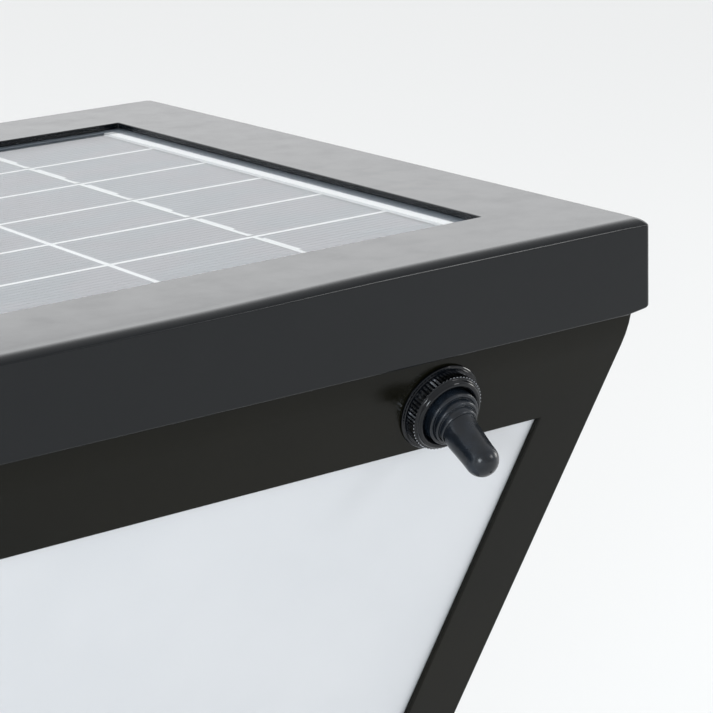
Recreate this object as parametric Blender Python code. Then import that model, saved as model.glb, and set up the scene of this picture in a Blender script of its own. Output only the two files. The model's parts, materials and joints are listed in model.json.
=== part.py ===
"""A solar lantern head for a post or a gate pillar.

A square cap with a 12-cell solar panel sits on a lantern body that tapers
down to a short neck and a square fixing flange.  Four milky windows let the
light out, and a waterproof toggle switch comes through the front.

Metres, +Z up, front facing -Y.  The origin is the centre of the flange's
underside, where the lamp stands on its pillar.
"""

import math

import bmesh
import bpy
from mathutils import Matrix, Vector

MM = 0.001
GAP = 0.3 * MM                      # touching pieces are held this far apart

# Cap and panel
CAP_HALF = 100 * MM                 # half the cap's width
CAP_HEIGHT = 20 * MM
CAP_SHEET = 1.1 * MM
CAP_CORNER = 1.6 * MM               # radius of the four upright edges
CAP_EDGE = 1.9 * MM                 # radius round the top edge
OPENING_HALF = 75 * MM              # half the opening over the panel
PANEL_HALF = 80 * MM
COVER_THICK = 0.5 * MM
CELL_THICK = 0.3 * MM
BOARD_THICK = 1.6 * MM
CELL_COLUMNS = 2
CELL_ROWS = 6
CELL_FIELD_X = 70.4 * MM            # half the width that the cells fill
CELL_FIELD_Y = 73.0 * MM
CELL_SPACING = 1.3 * MM

# Lantern body
TAPER = 0.3087                      # run of each side per unit of height
SHEET = 1.3 * MM
BODY_HALF = 97.55 * MM              # half the width at the collar
BODY_BOTTOM = 46 * MM
FOLD_Z = 213.3 * MM                 # the taper meets the upright collar here
COLLAR_TOP = 222 * MM
CAP_BOTTOM = 215 * MM
CAP_TOP = CAP_BOTTOM + CAP_HEIGHT
CAP_SCREW_Z = CAP_BOTTOM + 4 * MM
CAP_SCREW_HOLE = 1.9 * MM
WINDOW_TOP = CAP_BOTTOM - 20.8 * MM
WINDOW_BOTTOM = 60 * MM
SIDE_STRIP = 15.3 * MM              # strip between window and corner
DIFFUSER_THICK = 2 * MM
DIFFUSER_LAP = 5 * MM               # hidden behind the side strips
DIFFUSER_TOP_LAP = 1.6 * MM

# Inner tray and what it carries
TRAY_SHEET = 1.5 * MM
TRAY_TOP = 213.7 * MM
TRAY_HALF = 92.5 * MM
PAN_HALF = 56 * MM
PAN_FLOOR = 190 * MM
STUD_PLACE = 88 * MM
CELL_18650_RADIUS = 9.1 * MM
CELL_18650_LENGTH = 65 * MM

# Neck and flange
FLANGE_HALF = 62 * MM
FLANGE_THICK = 5 * MM
NECK_HALF = 35 * MM
NECK_WALL = 2.5 * MM
FLOOR_PLATE_THICK = 3 * MM
FIXING_PLACE = 48 * MM
FIXING_RADIUS = 3.25 * MM

# Toggle switch, measured along its own axis from the face's outer surface
SWITCH_X = 47.75 * MM
SWITCH_DROP = 11.4 * MM             # below the cap
SWITCH_Z = CAP_BOTTOM - SWITCH_DROP
PIVOT_OUT = 1.8 * MM
THROW = math.radians(15)            # lean of the lever to either side
BUSHING_RADIUS = 6.0 * MM
BUSHING_BORE = 3.7 * MM
WASHER_RADIUS = 9.5 * MM
WASHER_TOP = 0.8 * MM
RING_RADIUS = 8.4 * MM
RING_HIGH = 3.0 * MM
PIN_RADIUS = 0.75 * MM
PIN_HOLE_RADIUS = 1.05 * MM
SLEEVE_RADIUS = 3.5 * MM            # the boot's finger over the lever
SLEEVE_REACH = 13.9 * MM            # from the hinge to the finger's round end
NUT_THICK = 2.5 * MM
ROCKER_DEPTH = 13 * MM
ROCKER_LEAN = math.radians(10)

TAPER_ANGLE = math.atan(TAPER)
SLANT_SHEET = SHEET / math.cos(TAPER_ANGLE)    # sheet thickness seen level


# ---------------------------------------------------------------- helpers

def clear_scene():
    """Remove every object of the opened scene."""
    for thing in list(bpy.data.objects):
        bpy.data.objects.remove(thing, do_unlink=True)


def make_material(name, colour, roughness, metallic=0.0):
    """Return a plain Principled material."""
    material = bpy.data.materials.new(name)
    material.use_nodes = True
    shader = material.node_tree.nodes["Principled BSDF"]
    shader.inputs["Base Color"].default_value = (*colour, 1.0)
    shader.inputs["Roughness"].default_value = roughness
    shader.inputs["Metallic"].default_value = metallic
    return material


def add_object(name, mesh_data, material, parent=None):
    """Turn a bmesh into a linked object whose faces point out."""
    bmesh.ops.recalc_face_normals(mesh_data, faces=mesh_data.faces)
    mesh = bpy.data.meshes.new(name)
    mesh_data.to_mesh(mesh)
    mesh_data.free()
    mesh.materials.append(material)
    thing = bpy.data.objects.new(name, mesh)
    bpy.context.scene.collection.objects.link(thing)
    thing.parent = parent
    return thing


def copy_object(source, name, location=(0, 0, 0), turn=0.0):
    """Return another object that shares the source's mesh."""
    twin = bpy.data.objects.new(name, source.data)
    twin.location = location
    twin.rotation_euler.z = turn
    bpy.context.scene.collection.objects.link(twin)
    return twin


def loft(loops, closed=False):
    """Return a bmesh skin over loops of points, capped or joined end to end."""
    mesh_data = bmesh.new()
    rings = [[mesh_data.verts.new(point) for point in loop] for loop in loops]
    pairs = list(zip(rings, rings[1:]))
    if closed:
        pairs.append((rings[-1], rings[0]))
    count = len(rings[0])
    for lower, upper in pairs:
        for i in range(count):
            j = (i + 1) % count
            mesh_data.faces.new((lower[i], lower[j], upper[j], upper[i]))
    if not closed:
        mesh_data.faces.new(rings[0])
        mesh_data.faces.new(rings[-1])
    return mesh_data


def circle(radius, z, segments=32):
    """Return a level circle of points."""
    steps = [2 * math.pi * i / segments for i in range(segments)]
    return [(radius * math.cos(a), radius * math.sin(a), z) for a in steps]


def square(half, z, radius=0.0, arc_steps=4, half_y=None):
    """Return a level square or oblong of points with rounded corners."""
    half_y = half if half_y is None else half_y
    points = []
    for quarter, (sx, sy) in enumerate(((1, 1), (-1, 1), (-1, -1), (1, -1))):
        for step in range(arc_steps + 1):
            angle = math.pi / 2 * (quarter + step / arc_steps)
            points.append((sx * (half - radius) + radius * math.cos(angle),
                           sy * (half_y - radius) + radius * math.sin(angle), z))
    return points


def box(name, low, high, material, parent=None):
    """Return a box between two corners."""
    mesh_data = bmesh.new()
    bmesh.ops.create_cube(mesh_data, size=1.0)
    size = [b - a for a, b in zip(low, high)]
    centre = [(a + b) / 2 for a, b in zip(low, high)]
    bmesh.ops.scale(mesh_data, vec=size, verts=mesh_data.verts)
    bmesh.ops.translate(mesh_data, vec=centre, verts=mesh_data.verts)
    return add_object(name, mesh_data, material, parent)


def turned(name, profile, material, segments=32, closed=False, parent=None):
    """Return a shape turned about Z from (radius, height) points."""
    loops = [circle(radius, z, segments) for radius, z in profile]
    thing = add_object(name, loft(loops, closed), material, parent)
    thing.data.shade_smooth()
    thing.data.set_sharp_from_angle(angle=math.radians(35))
    return thing


def apply_boolean(thing, other, operation):
    """Join or cut a shape with another one, which is then removed."""
    modifier = thing.modifiers.new(operation.title(), "BOOLEAN")
    modifier.operation = operation
    modifier.object = other
    bpy.context.view_layer.update()
    graph = bpy.context.evaluated_depsgraph_get()
    result = bpy.data.meshes.new_from_object(thing.evaluated_get(graph))
    thing.modifiers.remove(modifier)
    thing.data = result
    bpy.data.objects.remove(other, do_unlink=True)


def drill(thing, place, radius, length, direction=(0, 0, 1), segments=20):
    """Cut a round hole centred on a point."""
    hole = add_object("hole", loft([circle(radius, -length / 2, segments),
                                    circle(radius, length / 2, segments)]),
                      thing.data.materials[0])
    hole.rotation_mode = "QUATERNION"
    hole.rotation_quaternion = Vector((0, 0, 1)).rotation_difference(Vector(direction))
    hole.location = place
    apply_boolean(thing, hole, "DIFFERENCE")


def cut_box(thing, low, high):
    """Cut a box out of a shape."""
    apply_boolean(thing, box("slot", low, high, thing.data.materials[0]), "DIFFERENCE")


def side_half(z):
    """Return half the body's outer width at a height."""
    return BODY_HALF - TAPER * max(0.0, FOLD_Z - z)


def corner_places(reach):
    """Return the four corner points of a square, in order round Z."""
    return [(sx * reach, sy * reach) for sx, sy in ((-1, -1), (1, -1), (1, 1), (-1, 1))]


# ---------------------------------------------------------------- cap and panel

def build_cap(paint):
    """Make the pressed cap: skirt, top frame and four threaded studs below."""
    arc = [math.radians(a) for a in (0, 30, 60, 90)]
    inner = CAP_HALF - CAP_SHEET
    loops = [square(CAP_HALF - 0.4 * MM, CAP_BOTTOM, CAP_CORNER),
             square(CAP_HALF, CAP_BOTTOM + 0.4 * MM, CAP_CORNER)]
    for a in arc:
        inset = CAP_EDGE * (1 - math.cos(a))
        rise = CAP_EDGE * (1 - math.sin(a))
        loops.append(square(CAP_HALF - inset, CAP_TOP - rise, CAP_CORNER))
    loops.append(square(OPENING_HALF, CAP_TOP, 0.6 * MM))
    loops.append(square(OPENING_HALF, CAP_TOP - CAP_SHEET, 0.6 * MM))
    loops.append(square(inner, CAP_TOP - CAP_SHEET, CAP_CORNER - CAP_SHEET))
    loops.append(square(inner, CAP_BOTTOM, CAP_CORNER - CAP_SHEET))
    cap = add_object("cap_frame", loft(loops, closed=True), paint)
    for x, y in corner_places(STUD_PLACE):
        stud = turned("stud", [(3.5 * MM, TRAY_TOP + GAP), (3.5 * MM, CAP_TOP - 1 * MM)],
                      paint, 16)
        stud.location = (x, y, 0)
        apply_boolean(cap, stud, "UNION")
        drill(cap, (x, y, TRAY_TOP + 3 * MM), 1.8 * MM, 12 * MM, segments=12)
    for side in (-1, 1):
        drill(cap, (side * CAP_HALF, 0, CAP_SCREW_Z), CAP_SCREW_HOLE, 10 * MM, (1, 0, 0), 12)
    return cap


def build_panel(clear, silicon, board_stuff, sealant, plastic):
    """Make the laminated solar panel that is bonded under the cap's opening."""
    top = CAP_TOP - CAP_SHEET - GAP
    cover_low = top - COVER_THICK
    cell_top = cover_low - GAP
    board_top = cell_top - CELL_THICK - GAP
    board_low = board_top - BOARD_THICK
    box("panel_cover", (-PANEL_HALF, -PANEL_HALF, cover_low), (PANEL_HALF, PANEL_HALF, top), clear)
    box("panel_board", (-PANEL_HALF, -PANEL_HALF, board_low),
        (PANEL_HALF, PANEL_HALF, board_top), board_stuff)
    pitch_x = 2 * CELL_FIELD_X / CELL_COLUMNS
    pitch_y = 2 * CELL_FIELD_Y / CELL_ROWS
    for column in range(CELL_COLUMNS):
        for row in range(CELL_ROWS):
            x = -CELL_FIELD_X + pitch_x * column
            y = -CELL_FIELD_Y + pitch_y * row
            low = (x + CELL_SPACING / 2, y + CELL_SPACING / 2, cell_top - CELL_THICK)
            high = (x + pitch_x - CELL_SPACING / 2, y + pitch_y - CELL_SPACING / 2, cell_top)
            box(f"solar_cell_{column + 1}_{row + 1}", low, high, silicon)
    loops = [square(PANEL_HALF + GAP, board_low, 0.2 * MM, 1),
             square(PANEL_HALF + 4 * MM, board_low, 2 * MM, 1),
             square(PANEL_HALF + 2 * MM, top - 0.1 * MM, 2 * MM, 1),
             square(PANEL_HALF + GAP, top - 0.1 * MM, 0.2 * MM, 1)]
    add_object("panel_seal", loft(loops, closed=True), sealant)
    junction = box("panel_junction_box", (-16 * MM, 26 * MM, board_low - GAP - 8 * MM),
                   (16 * MM, 44 * MM, board_low - GAP), plastic)
    bevel = junction.modifiers.new("Bevel", "BEVEL")
    bevel.width = 0.8 * MM
    bevel.segments = 1


def build_screw(name, place, head_radius, head_high, core_radius, length, steel,
                direction=(0, 0, 1)):
    """Make a pan-head screw whose head points along a direction."""
    profile = [(core_radius * 0.5, -length), (core_radius, -length + 0.8 * MM),
               (core_radius, 0), (head_radius, 0), (head_radius, head_high * 0.5),
               (head_radius * 0.75, head_high), (0.9 * MM, head_high),
               (0.9 * MM, head_high * 0.4)]
    screw = turned(name, profile, steel, 16)
    screw.rotation_mode = "QUATERNION"
    screw.rotation_quaternion = Vector((0, 0, 1)).rotation_difference(Vector(direction))
    screw.location = place
    return screw


# ---------------------------------------------------------------- lantern body

def face_frame_mesh():
    """Return one side of the body: a sheet frame with mitred ends and a collar.

    The mesh is the front side.  The other three are turned copies.
    """
    inner_fold = FOLD_Z + (SLANT_SHEET - SHEET) / TAPER
    outer = [(side_half(z), z) for z in (BODY_BOTTOM, FOLD_Z, COLLAR_TOP)]
    inner = [(side_half(BODY_BOTTOM) - SLANT_SHEET, BODY_BOTTOM),
             (BODY_HALF - SHEET, inner_fold), (BODY_HALF - SHEET, COLLAR_TOP)]
    mesh_data = bmesh.new()

    def edge_pair(half, z):
        reach = half - GAP / 2
        return [mesh_data.verts.new((side * reach, -half, z)) for side in (-1, 1)]

    def window_pair(z, depth):
        reach = side_half(z) - SIDE_STRIP
        return [mesh_data.verts.new((side * reach, -side_half(z) + depth, z))
                for side in (-1, 1)]

    sides = []
    for profile, depth in ((outer, 0.0), (inner, SLANT_SHEET)):
        edges = [edge_pair(half, z) for half, z in profile]
        window = [window_pair(z, depth) for z in (WINDOW_BOTTOM, WINDOW_TOP)]
        sides.append((edges, window))
    for edges, window in sides:
        (bottom, fold, top), (sill, head) = edges, window
        mesh_data.faces.new((bottom[0], bottom[1], sill[1], sill[0]))
        mesh_data.faces.new((head[0], head[1], fold[1], fold[0]))
        mesh_data.faces.new((bottom[1], fold[1], head[1], sill[1]))
        mesh_data.faces.new((bottom[0], sill[0], head[0], fold[0]))
        mesh_data.faces.new((fold[0], fold[1], top[1], top[0]))
    (outer_edges, outer_window), (inner_edges, inner_window) = sides
    rim_out = [outer_edges[0][0], outer_edges[0][1], outer_edges[1][1],
               outer_edges[2][1], outer_edges[2][0], outer_edges[1][0]]
    rim_in = [inner_edges[0][0], inner_edges[0][1], inner_edges[1][1],
              inner_edges[2][1], inner_edges[2][0], inner_edges[1][0]]
    hole_out = [outer_window[0][0], outer_window[0][1], outer_window[1][1], outer_window[1][0]]
    hole_in = [inner_window[0][0], inner_window[0][1], inner_window[1][1], inner_window[1][0]]
    for ring_a, ring_b in ((rim_out, rim_in), (hole_out, hole_in)):
        for i in range(len(ring_a)):
            j = (i + 1) % len(ring_a)
            mesh_data.faces.new((ring_a[i], ring_a[j], ring_b[j], ring_b[i]))
    return mesh_data


def diffuser_mesh():
    """Return one milky window pane, which lies behind the front side's window."""
    near = SLANT_SHEET + GAP
    far = near + DIFFUSER_THICK / math.cos(TAPER_ANGLE)
    loops = []
    for depth in (near, far):
        loop = []
        for z, sides in ((WINDOW_BOTTOM - DIFFUSER_LAP, (-1, 1)),
                         (WINDOW_TOP + DIFFUSER_TOP_LAP, (1, -1))):
            reach = side_half(z) - SIDE_STRIP + DIFFUSER_LAP
            loop += [(side * reach, -side_half(z) + depth, z) for side in sides]
        loops.append(loop)
    return loft(loops)


def corner_angle_mesh():
    """Return the tapering L strip that holds two panes in the front right corner."""
    width = 16 * MM
    thick = 1.5 * MM
    loops = []
    for z in (52 * MM, 186 * MM):
        a = side_half(z) - SLANT_SHEET - DIFFUSER_THICK / math.cos(TAPER_ANGLE) - 3 * GAP
        loops.append([(a, -a, z), (a, width - a, z), (a - thick, width - a, z),
                      (a - thick, thick - a, z), (a - width, thick - a, z), (a - width, -a, z)])
    return loft(loops)


def build_body(paint, milky, zinc, switch_frame):
    """Make the four sides, their panes and the corner strips."""
    turns = {"front": 0, "right": 1, "back": 2, "left": 3}
    front = add_object("front_frame", face_frame_mesh(), paint)
    for side, count in turns.items():
        if side == "front":
            continue
        frame = copy_object(front, f"{side}_frame", turn=count * math.pi / 2)
        if side == "back":
            continue
        outward = 1 if side == "right" else -1
        frame.data = front.data.copy()
        drill(frame, (outward * BODY_HALF, 0, CAP_SCREW_Z), CAP_SCREW_HOLE, 8 * MM,
              (1, 0, 0), 12)
    front.data = front.data.copy()
    place = switch_frame.matrix_world.translation
    drill(front, place, BUSHING_RADIUS + GAP, 12 * MM, switch_axis(), 32)

    pane = add_object("front_diffuser", diffuser_mesh(), milky)
    for side, count in turns.items():
        if side != "front":
            copy_object(pane, f"{side}_diffuser", turn=count * math.pi / 2)
    pane.data = pane.data.copy()
    drill(pane, place - Vector(switch_axis()) * 4 * MM, 8.8 * MM, 8 * MM, switch_axis(), 32)

    strip = add_object("corner_angle_1", corner_angle_mesh(), zinc)
    for count in (1, 2, 3):
        copy_object(strip, f"corner_angle_{count + 1}", turn=count * math.pi / 2)


# ---------------------------------------------------------------- tray and electronics

def build_tray(zinc):
    """Make the pressed pan with a flange that screws to the cap's studs."""
    flange_low = TRAY_TOP - TRAY_SHEET
    loops = [square(PAN_HALF, PAN_FLOOR, 3 * MM, 2),
             square(PAN_HALF, flange_low, 3 * MM, 2),
             square(TRAY_HALF, flange_low, 3 * MM, 2),
             square(TRAY_HALF, TRAY_TOP, 3 * MM, 2),
             square(PAN_HALF - TRAY_SHEET, TRAY_TOP, 1.5 * MM, 2),
             square(PAN_HALF - TRAY_SHEET, PAN_FLOOR + TRAY_SHEET, 1.5 * MM, 2)]
    tray = add_object("gear_tray", loft(loops), zinc)
    cut_box(tray, (SWITCH_X - 19 * MM, -100 * MM, flange_low - 2 * MM),
            (SWITCH_X + 19 * MM, -60 * MM, TRAY_TOP + 2 * MM))
    for x, y in corner_places(STUD_PLACE):
        drill(tray, (x, y, TRAY_TOP), 1.8 * MM, 8 * MM, segments=12)
    drill(tray, (30 * MM, 44 * MM, PAN_FLOOR), 3 * MM, 8 * MM, segments=12)
    return tray


def build_electronics(plastic, jacket, green, white):
    """Make the battery pack, the charge controller and the lamp board."""
    floor = PAN_FLOOR + TRAY_SHEET + GAP
    cradle_high = floor + 12 * MM
    cradle_half = 36 * MM
    cradle = box("battery_holder", (-cradle_half, -22 * MM, floor),
                 (cradle_half, 22 * MM, cradle_high), plastic)
    axis_z = floor + 1.5 * MM + CELL_18650_RADIUS + GAP
    for index, y in enumerate((-10 * MM, 10 * MM)):
        drill(cradle, (0, y, axis_z), CELL_18650_RADIUS + GAP,
              CELL_18650_LENGTH + 2 * GAP, (1, 0, 0), 32)
        half = CELL_18650_LENGTH / 2
        neck = half - 2 * MM
        profile = [(CELL_18650_RADIUS, -half), (CELL_18650_RADIUS, neck),
                   (CELL_18650_RADIUS - 1 * MM, neck), (3 * MM, neck), (3 * MM, half)]
        cell = turned(f"battery_cell_{index + 1}", profile, jacket, 24)
        cell.rotation_euler.y = math.pi / 2
        cell.location = (0, y, axis_z)

    board_low = floor + 5 * MM
    box("controller_board", (-35 * MM, 25 * MM, board_low),
        (22 * MM, 53 * MM, board_low + BOARD_THICK), green)
    top = board_low + BOARD_THICK + GAP
    box("controller_connector", (-28 * MM, 30 * MM, top), (-4 * MM, 38 * MM, top + 7 * MM), white)
    box("led_board", (-45 * MM, -45 * MM, PAN_FLOOR - GAP - BOARD_THICK),
        (45 * MM, 45 * MM, PAN_FLOOR - GAP), white)


def smooth_route(points, steps=6):
    """Return points along a smooth curve through the given ones."""
    points = [Vector(p) for p in points]
    ends = [2 * points[0] - points[1]] + points + [2 * points[-1] - points[-2]]
    route = []
    for a, b, c, d in zip(ends, ends[1:], ends[2:], ends[3:]):
        for step in range(steps):
            t = step / steps
            route.append(0.5 * (2 * b + (c - a) * t + (2 * a - 5 * b + 4 * c - d) * t ** 2
                                + (3 * b - a - 3 * c + d) * t ** 3))
    route.append(points[-1])
    return route


def build_lead(name, points, radius, material):
    """Make a lead as a round tube along a smooth route."""
    curve = bpy.data.curves.new(name, "CURVE")
    curve.dimensions = "3D"
    curve.bevel_depth = radius
    curve.bevel_resolution = 2
    curve.use_fill_caps = True
    spline = curve.splines.new("POLY")
    route = smooth_route(points)
    spline.points.add(len(route) - 1)
    for point, place in zip(spline.points, route):
        point.co = (*place, 1.0)
    curve.materials.append(material)
    thing = bpy.data.objects.new(name, curve)
    bpy.context.scene.collection.objects.link(thing)
    return thing


def build_leads(black_lead, red_lead):
    """Make the leads that join panel, battery, lamp board and switch."""
    radius = 1.1 * MM
    plug_top = (PAN_FLOOR + TRAY_SHEET + 2 * GAP + 5 * MM + BOARD_THICK + 7 * MM + GAP)
    routes = {
        "panel_lead": [(-14, 36, 221.2), (-14.2, 36, 217), (-14.2, 35, 212), (-14, 34, 208)],
        "battery_lead": [(36.6, 0, 200), (42, 2, 200), (46, 14, 203), (40, 28, 208),
                         (24, 35, 214), (4, 36, 214.5), (-7, 34, 211.5), (-8, 34, 208)],
        "led_lead": [(30, 44, 190.0), (30, 44, 193), (30, 44, 200), (26, 42, 208),
                     (14, 38, 210.5), (-1, 35, 211), (-5.4, 34, 209), (-5.6, 34, 207)],
        "switch_lead": [(48, -65.8, 212.0), (48, -62.5, 215), (46, -56, 217.5), (34, -40, 218.5),
                        (0, -24, 216.5), (-26, 4, 216), (-28, 26, 215), (-23, 34, 211),
                        (-22, 34, 208)],
    }
    for name, points in routes.items():
        places = [Vector(p) * MM for p in points]
        places[-1].z = plug_top
        build_lead(name, places, radius, red_lead if name == "battery_lead" else black_lead)


# ---------------------------------------------------------------- neck and flange

def build_base(paint):
    """Make the floor plate, the square neck and the fixing flange."""
    plate_top = BODY_BOTTOM - GAP
    plate_low = plate_top - FLOOR_PLATE_THICK
    half = side_half(BODY_BOTTOM)
    loops = [square(half - 0.5 * MM, plate_low, 1 * MM, 2),
             square(half, plate_low + 0.5 * MM, 1 * MM, 2),
             square(half, plate_top, 1 * MM, 2)]
    plate = add_object("floor_plate", loft(loops), paint)
    drill(plate, (0, 0, plate_low), 5 * MM, 10 * MM)

    neck_low = FLANGE_THICK + GAP
    neck_top = plate_low - GAP
    loops = [square(NECK_HALF, neck_low, 5 * MM),
             square(NECK_HALF, neck_top, 5 * MM),
             square(NECK_HALF - NECK_WALL, neck_top, 2.5 * MM),
             square(NECK_HALF - NECK_WALL, neck_low, 2.5 * MM)]
    add_object("neck_tube", loft(loops, closed=True), paint)

    loops = [square(FLANGE_HALF, 0, 6 * MM),
             square(FLANGE_HALF, FLANGE_THICK - 1 * MM, 6 * MM),
             square(FLANGE_HALF - 1 * MM, FLANGE_THICK, 5 * MM)]
    flange = add_object("base_flange", loft(loops), paint)
    for x, y in corner_places(FIXING_PLACE):
        drill(flange, (x, y, 0), FIXING_RADIUS, 20 * MM)


# ---------------------------------------------------------------- toggle switch

def switch_axis():
    """Return the front side's outward normal, which the switch follows."""
    return (0.0, -math.cos(TAPER_ANGLE), -math.sin(TAPER_ANGLE))


def build_switch_frame():
    """Return an empty on the front side: Z outward, Y up the slope, X across."""
    frame = bpy.data.objects.new("switch_place", None)
    bpy.context.scene.collection.objects.link(frame)
    frame.location = (SWITCH_X, -side_half(SWITCH_Z), SWITCH_Z)
    frame.rotation_euler = (math.pi / 2 + TAPER_ANGLE, 0, 0)
    bpy.context.view_layer.update()
    return frame


def build_pivot(name, parent, height, lean):
    """Return an empty on a hinge line, turned by the piece's lean at rest."""
    pivot = bpy.data.objects.new(name, None)
    bpy.context.scene.collection.objects.link(pivot)
    pivot.parent = parent
    pivot.location = (0, 0, height)
    pivot.rotation_euler = (lean, 0, 0)
    return pivot


def hex_loop(across_flats, z, segments):
    """Return a hexagon with two flats across the switch, as many points as asked."""
    points = []
    for i in range(segments):
        angle = 2 * math.pi * i / segments
        sector = (angle + math.pi / 6) % (math.pi / 3) - math.pi / 6
        radius = across_flats / 2 / math.cos(sector)
        turned_angle = angle + math.pi / 2
        points.append((radius * math.cos(turned_angle), radius * math.sin(turned_angle), z))
    return points


def build_switch_fixed(frame, brass, nickel, black_metal, phenolic):
    """Make the pieces of the switch that stay still."""
    nut_low = -SHEET - GAP - NUT_THICK
    body_high = nut_low - GAP
    bushing = turned("switch_bushing", [
        (BUSHING_RADIUS, body_high), (BUSHING_RADIUS, 3.2 * MM),
        (BUSHING_RADIUS - 0.5 * MM, 3.6 * MM), (BUSHING_BORE, 3.6 * MM),
        (BUSHING_BORE, body_high)], nickel, 32, True, frame)
    pin_hole = add_object("pin_hole", loft([circle(PIN_HOLE_RADIUS, -8 * MM, 12),
                                            circle(PIN_HOLE_RADIUS, 8 * MM, 12)]), nickel, frame)
    pin_hole.rotation_euler.y = math.pi / 2
    pin_hole.location.z = PIVOT_OUT
    apply_boolean_in_place(bushing, pin_hole)
    pin = turned("lever_pin", [(PIN_RADIUS, -5.4 * MM), (PIN_RADIUS, 5.4 * MM)], brass, 12,
                 parent=frame)
    pin.rotation_euler.y = math.pi / 2
    pin.location.z = PIVOT_OUT

    nut_high = -SHEET - GAP
    thread = BUSHING_RADIUS + GAP
    loops = [hex_loop(14 * MM, nut_low, 24), hex_loop(14 * MM, nut_high, 24),
             circle_from(thread, nut_high, 24), circle_from(thread, nut_low, 24)]
    add_object("switch_nut", loft(loops, closed=True), nickel, frame)
    turned("switch_washer", [(WASHER_RADIUS, GAP), (WASHER_RADIUS, WASHER_TOP),
                             (thread, WASHER_TOP), (thread, GAP)], black_metal, 40, True, frame)
    low = WASHER_TOP + GAP
    turned("boot_ring", [(RING_RADIUS - 0.15 * MM, low), (RING_RADIUS, low + 0.3 * MM),
                         (RING_RADIUS, low + 2.2 * MM), (RING_RADIUS - 0.3 * MM, low + 2.5 * MM),
                         (7.6 * MM, low + RING_HIGH), (7.1 * MM, low + RING_HIGH),
                         (6.7 * MM, low + 2.9 * MM), (thread, low + 2.4 * MM),
                         (thread, low)], black_metal, 40, True, frame)

    half_x = 15 * MM
    half_y = 7.6 * MM
    wall = 1.6 * MM
    depth = 17 * MM
    body_top = body_high - GAP
    body_low = body_top - depth
    loops = [square(half_x, body_low, 1 * MM, 2, half_y),
             square(half_x, body_top, 1 * MM, 2, half_y),
             square(half_x - wall, body_top, 0.4 * MM, 2, half_y - wall),
             square(half_x - wall, body_low + wall, 0.4 * MM, 2, half_y - wall)]
    body = add_object("switch_body", loft(loops), phenolic, frame)
    for y in (-4.4 * MM, 4.4 * MM):
        tab = box("tab", (-2.4 * MM, y - 0.4 * MM, body_low - 7 * MM),
                  (2.4 * MM, y + 0.4 * MM, body_low + wall / 2), phenolic, frame)
        apply_boolean_in_place(body, tab, "UNION")


def circle_from(radius, z, segments):
    """Return a circle whose first point lies straight up the slope."""
    steps = [2 * math.pi * i / segments + math.pi / 2 for i in range(segments)]
    return [(radius * math.cos(a), radius * math.sin(a), z) for a in steps]


def apply_boolean_in_place(thing, other, operation="DIFFERENCE"):
    """Cut or join two shapes that hang on the same empty."""
    bpy.context.view_layer.update()
    apply_boolean(thing, other, operation)


def bent_by(point, lean, start, end):
    """Turn a point about the pivot by a share of the lean that grows outwards."""
    share = min(1.0, max(0.0, (point.z - start) / (end - start)))
    share = share * share * (3 - 2 * share)
    pivot = Vector((0, 0, PIVOT_OUT))
    return pivot + Matrix.Rotation(lean * share, 3, "X") @ (point - pivot)


def build_lever(frame, chrome, rubber):
    """Make the lever on its pivot and the boot that covers it."""
    pivot = build_pivot("lever_pivot", frame, PIVOT_OUT, THROW)
    ball = [(3.1 * MM * math.cos(a), 3.1 * MM * math.sin(a))
            for a in [math.radians(d) for d in (-55, -35, -15, 5, 25, 45)]]
    profile = [(0.9 * MM, -10.8 * MM), (1.3 * MM, -10.2 * MM), (1.3 * MM, -4.0 * MM)]
    profile += ball
    profile += [(1.6 * MM, 3.4 * MM), (1.6 * MM, 5.0 * MM), (2.5 * MM, 12.0 * MM),
                (2.5 * MM, 13.8 * MM), (2.0 * MM, 14.6 * MM), (1.0 * MM, 15.0 * MM)]
    lever = turned("switch_lever", profile, chrome, 20, parent=pivot)
    hole = add_object("hinge_hole", loft([circle(PIN_HOLE_RADIUS, -5 * MM, 12),
                                          circle(PIN_HOLE_RADIUS, 5 * MM, 12)]), chrome, pivot)
    hole.rotation_euler.y = math.pi / 2
    apply_boolean_in_place(lever, hole)

    base = WASHER_TOP + GAP + RING_HIGH + GAP
    tip = PIVOT_OUT + SLEEVE_REACH
    outside = [(6.9 * MM, base), (6.6 * MM, base + 0.9 * MM), (5.9 * MM, base + 1.3 * MM),
               (5.7 * MM, base + 2.2 * MM), (4.9 * MM, base + 2.8 * MM),
               (4.6 * MM, base + 3.6 * MM), (3.9 * MM, base + 4.3 * MM),
               (SLEEVE_RADIUS, base + 5.2 * MM), (SLEEVE_RADIUS, base + 7.4 * MM)]
    outside += [(SLEEVE_RADIUS * math.cos(a), tip + SLEEVE_RADIUS * math.sin(a))
                for a in [math.radians(d) for d in (0, 30, 60, 80)]]
    inside = [(2.2 * MM, tip + 1.6 * MM), (2.85 * MM, tip + 1.0 * MM), (2.85 * MM, base + 5.0 * MM),
              (3.3 * MM, base + 3.9 * MM), (4.2 * MM, base + 2.2 * MM), (5.2 * MM, base + 0.6 * MM),
              (5.6 * MM, base)]
    boot = build_boot(frame, outside, inside, rubber)
    for vertex in boot.data.vertices:
        vertex.co = bent_by(vertex.co, THROW, base, base + 5.0 * MM)


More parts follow.
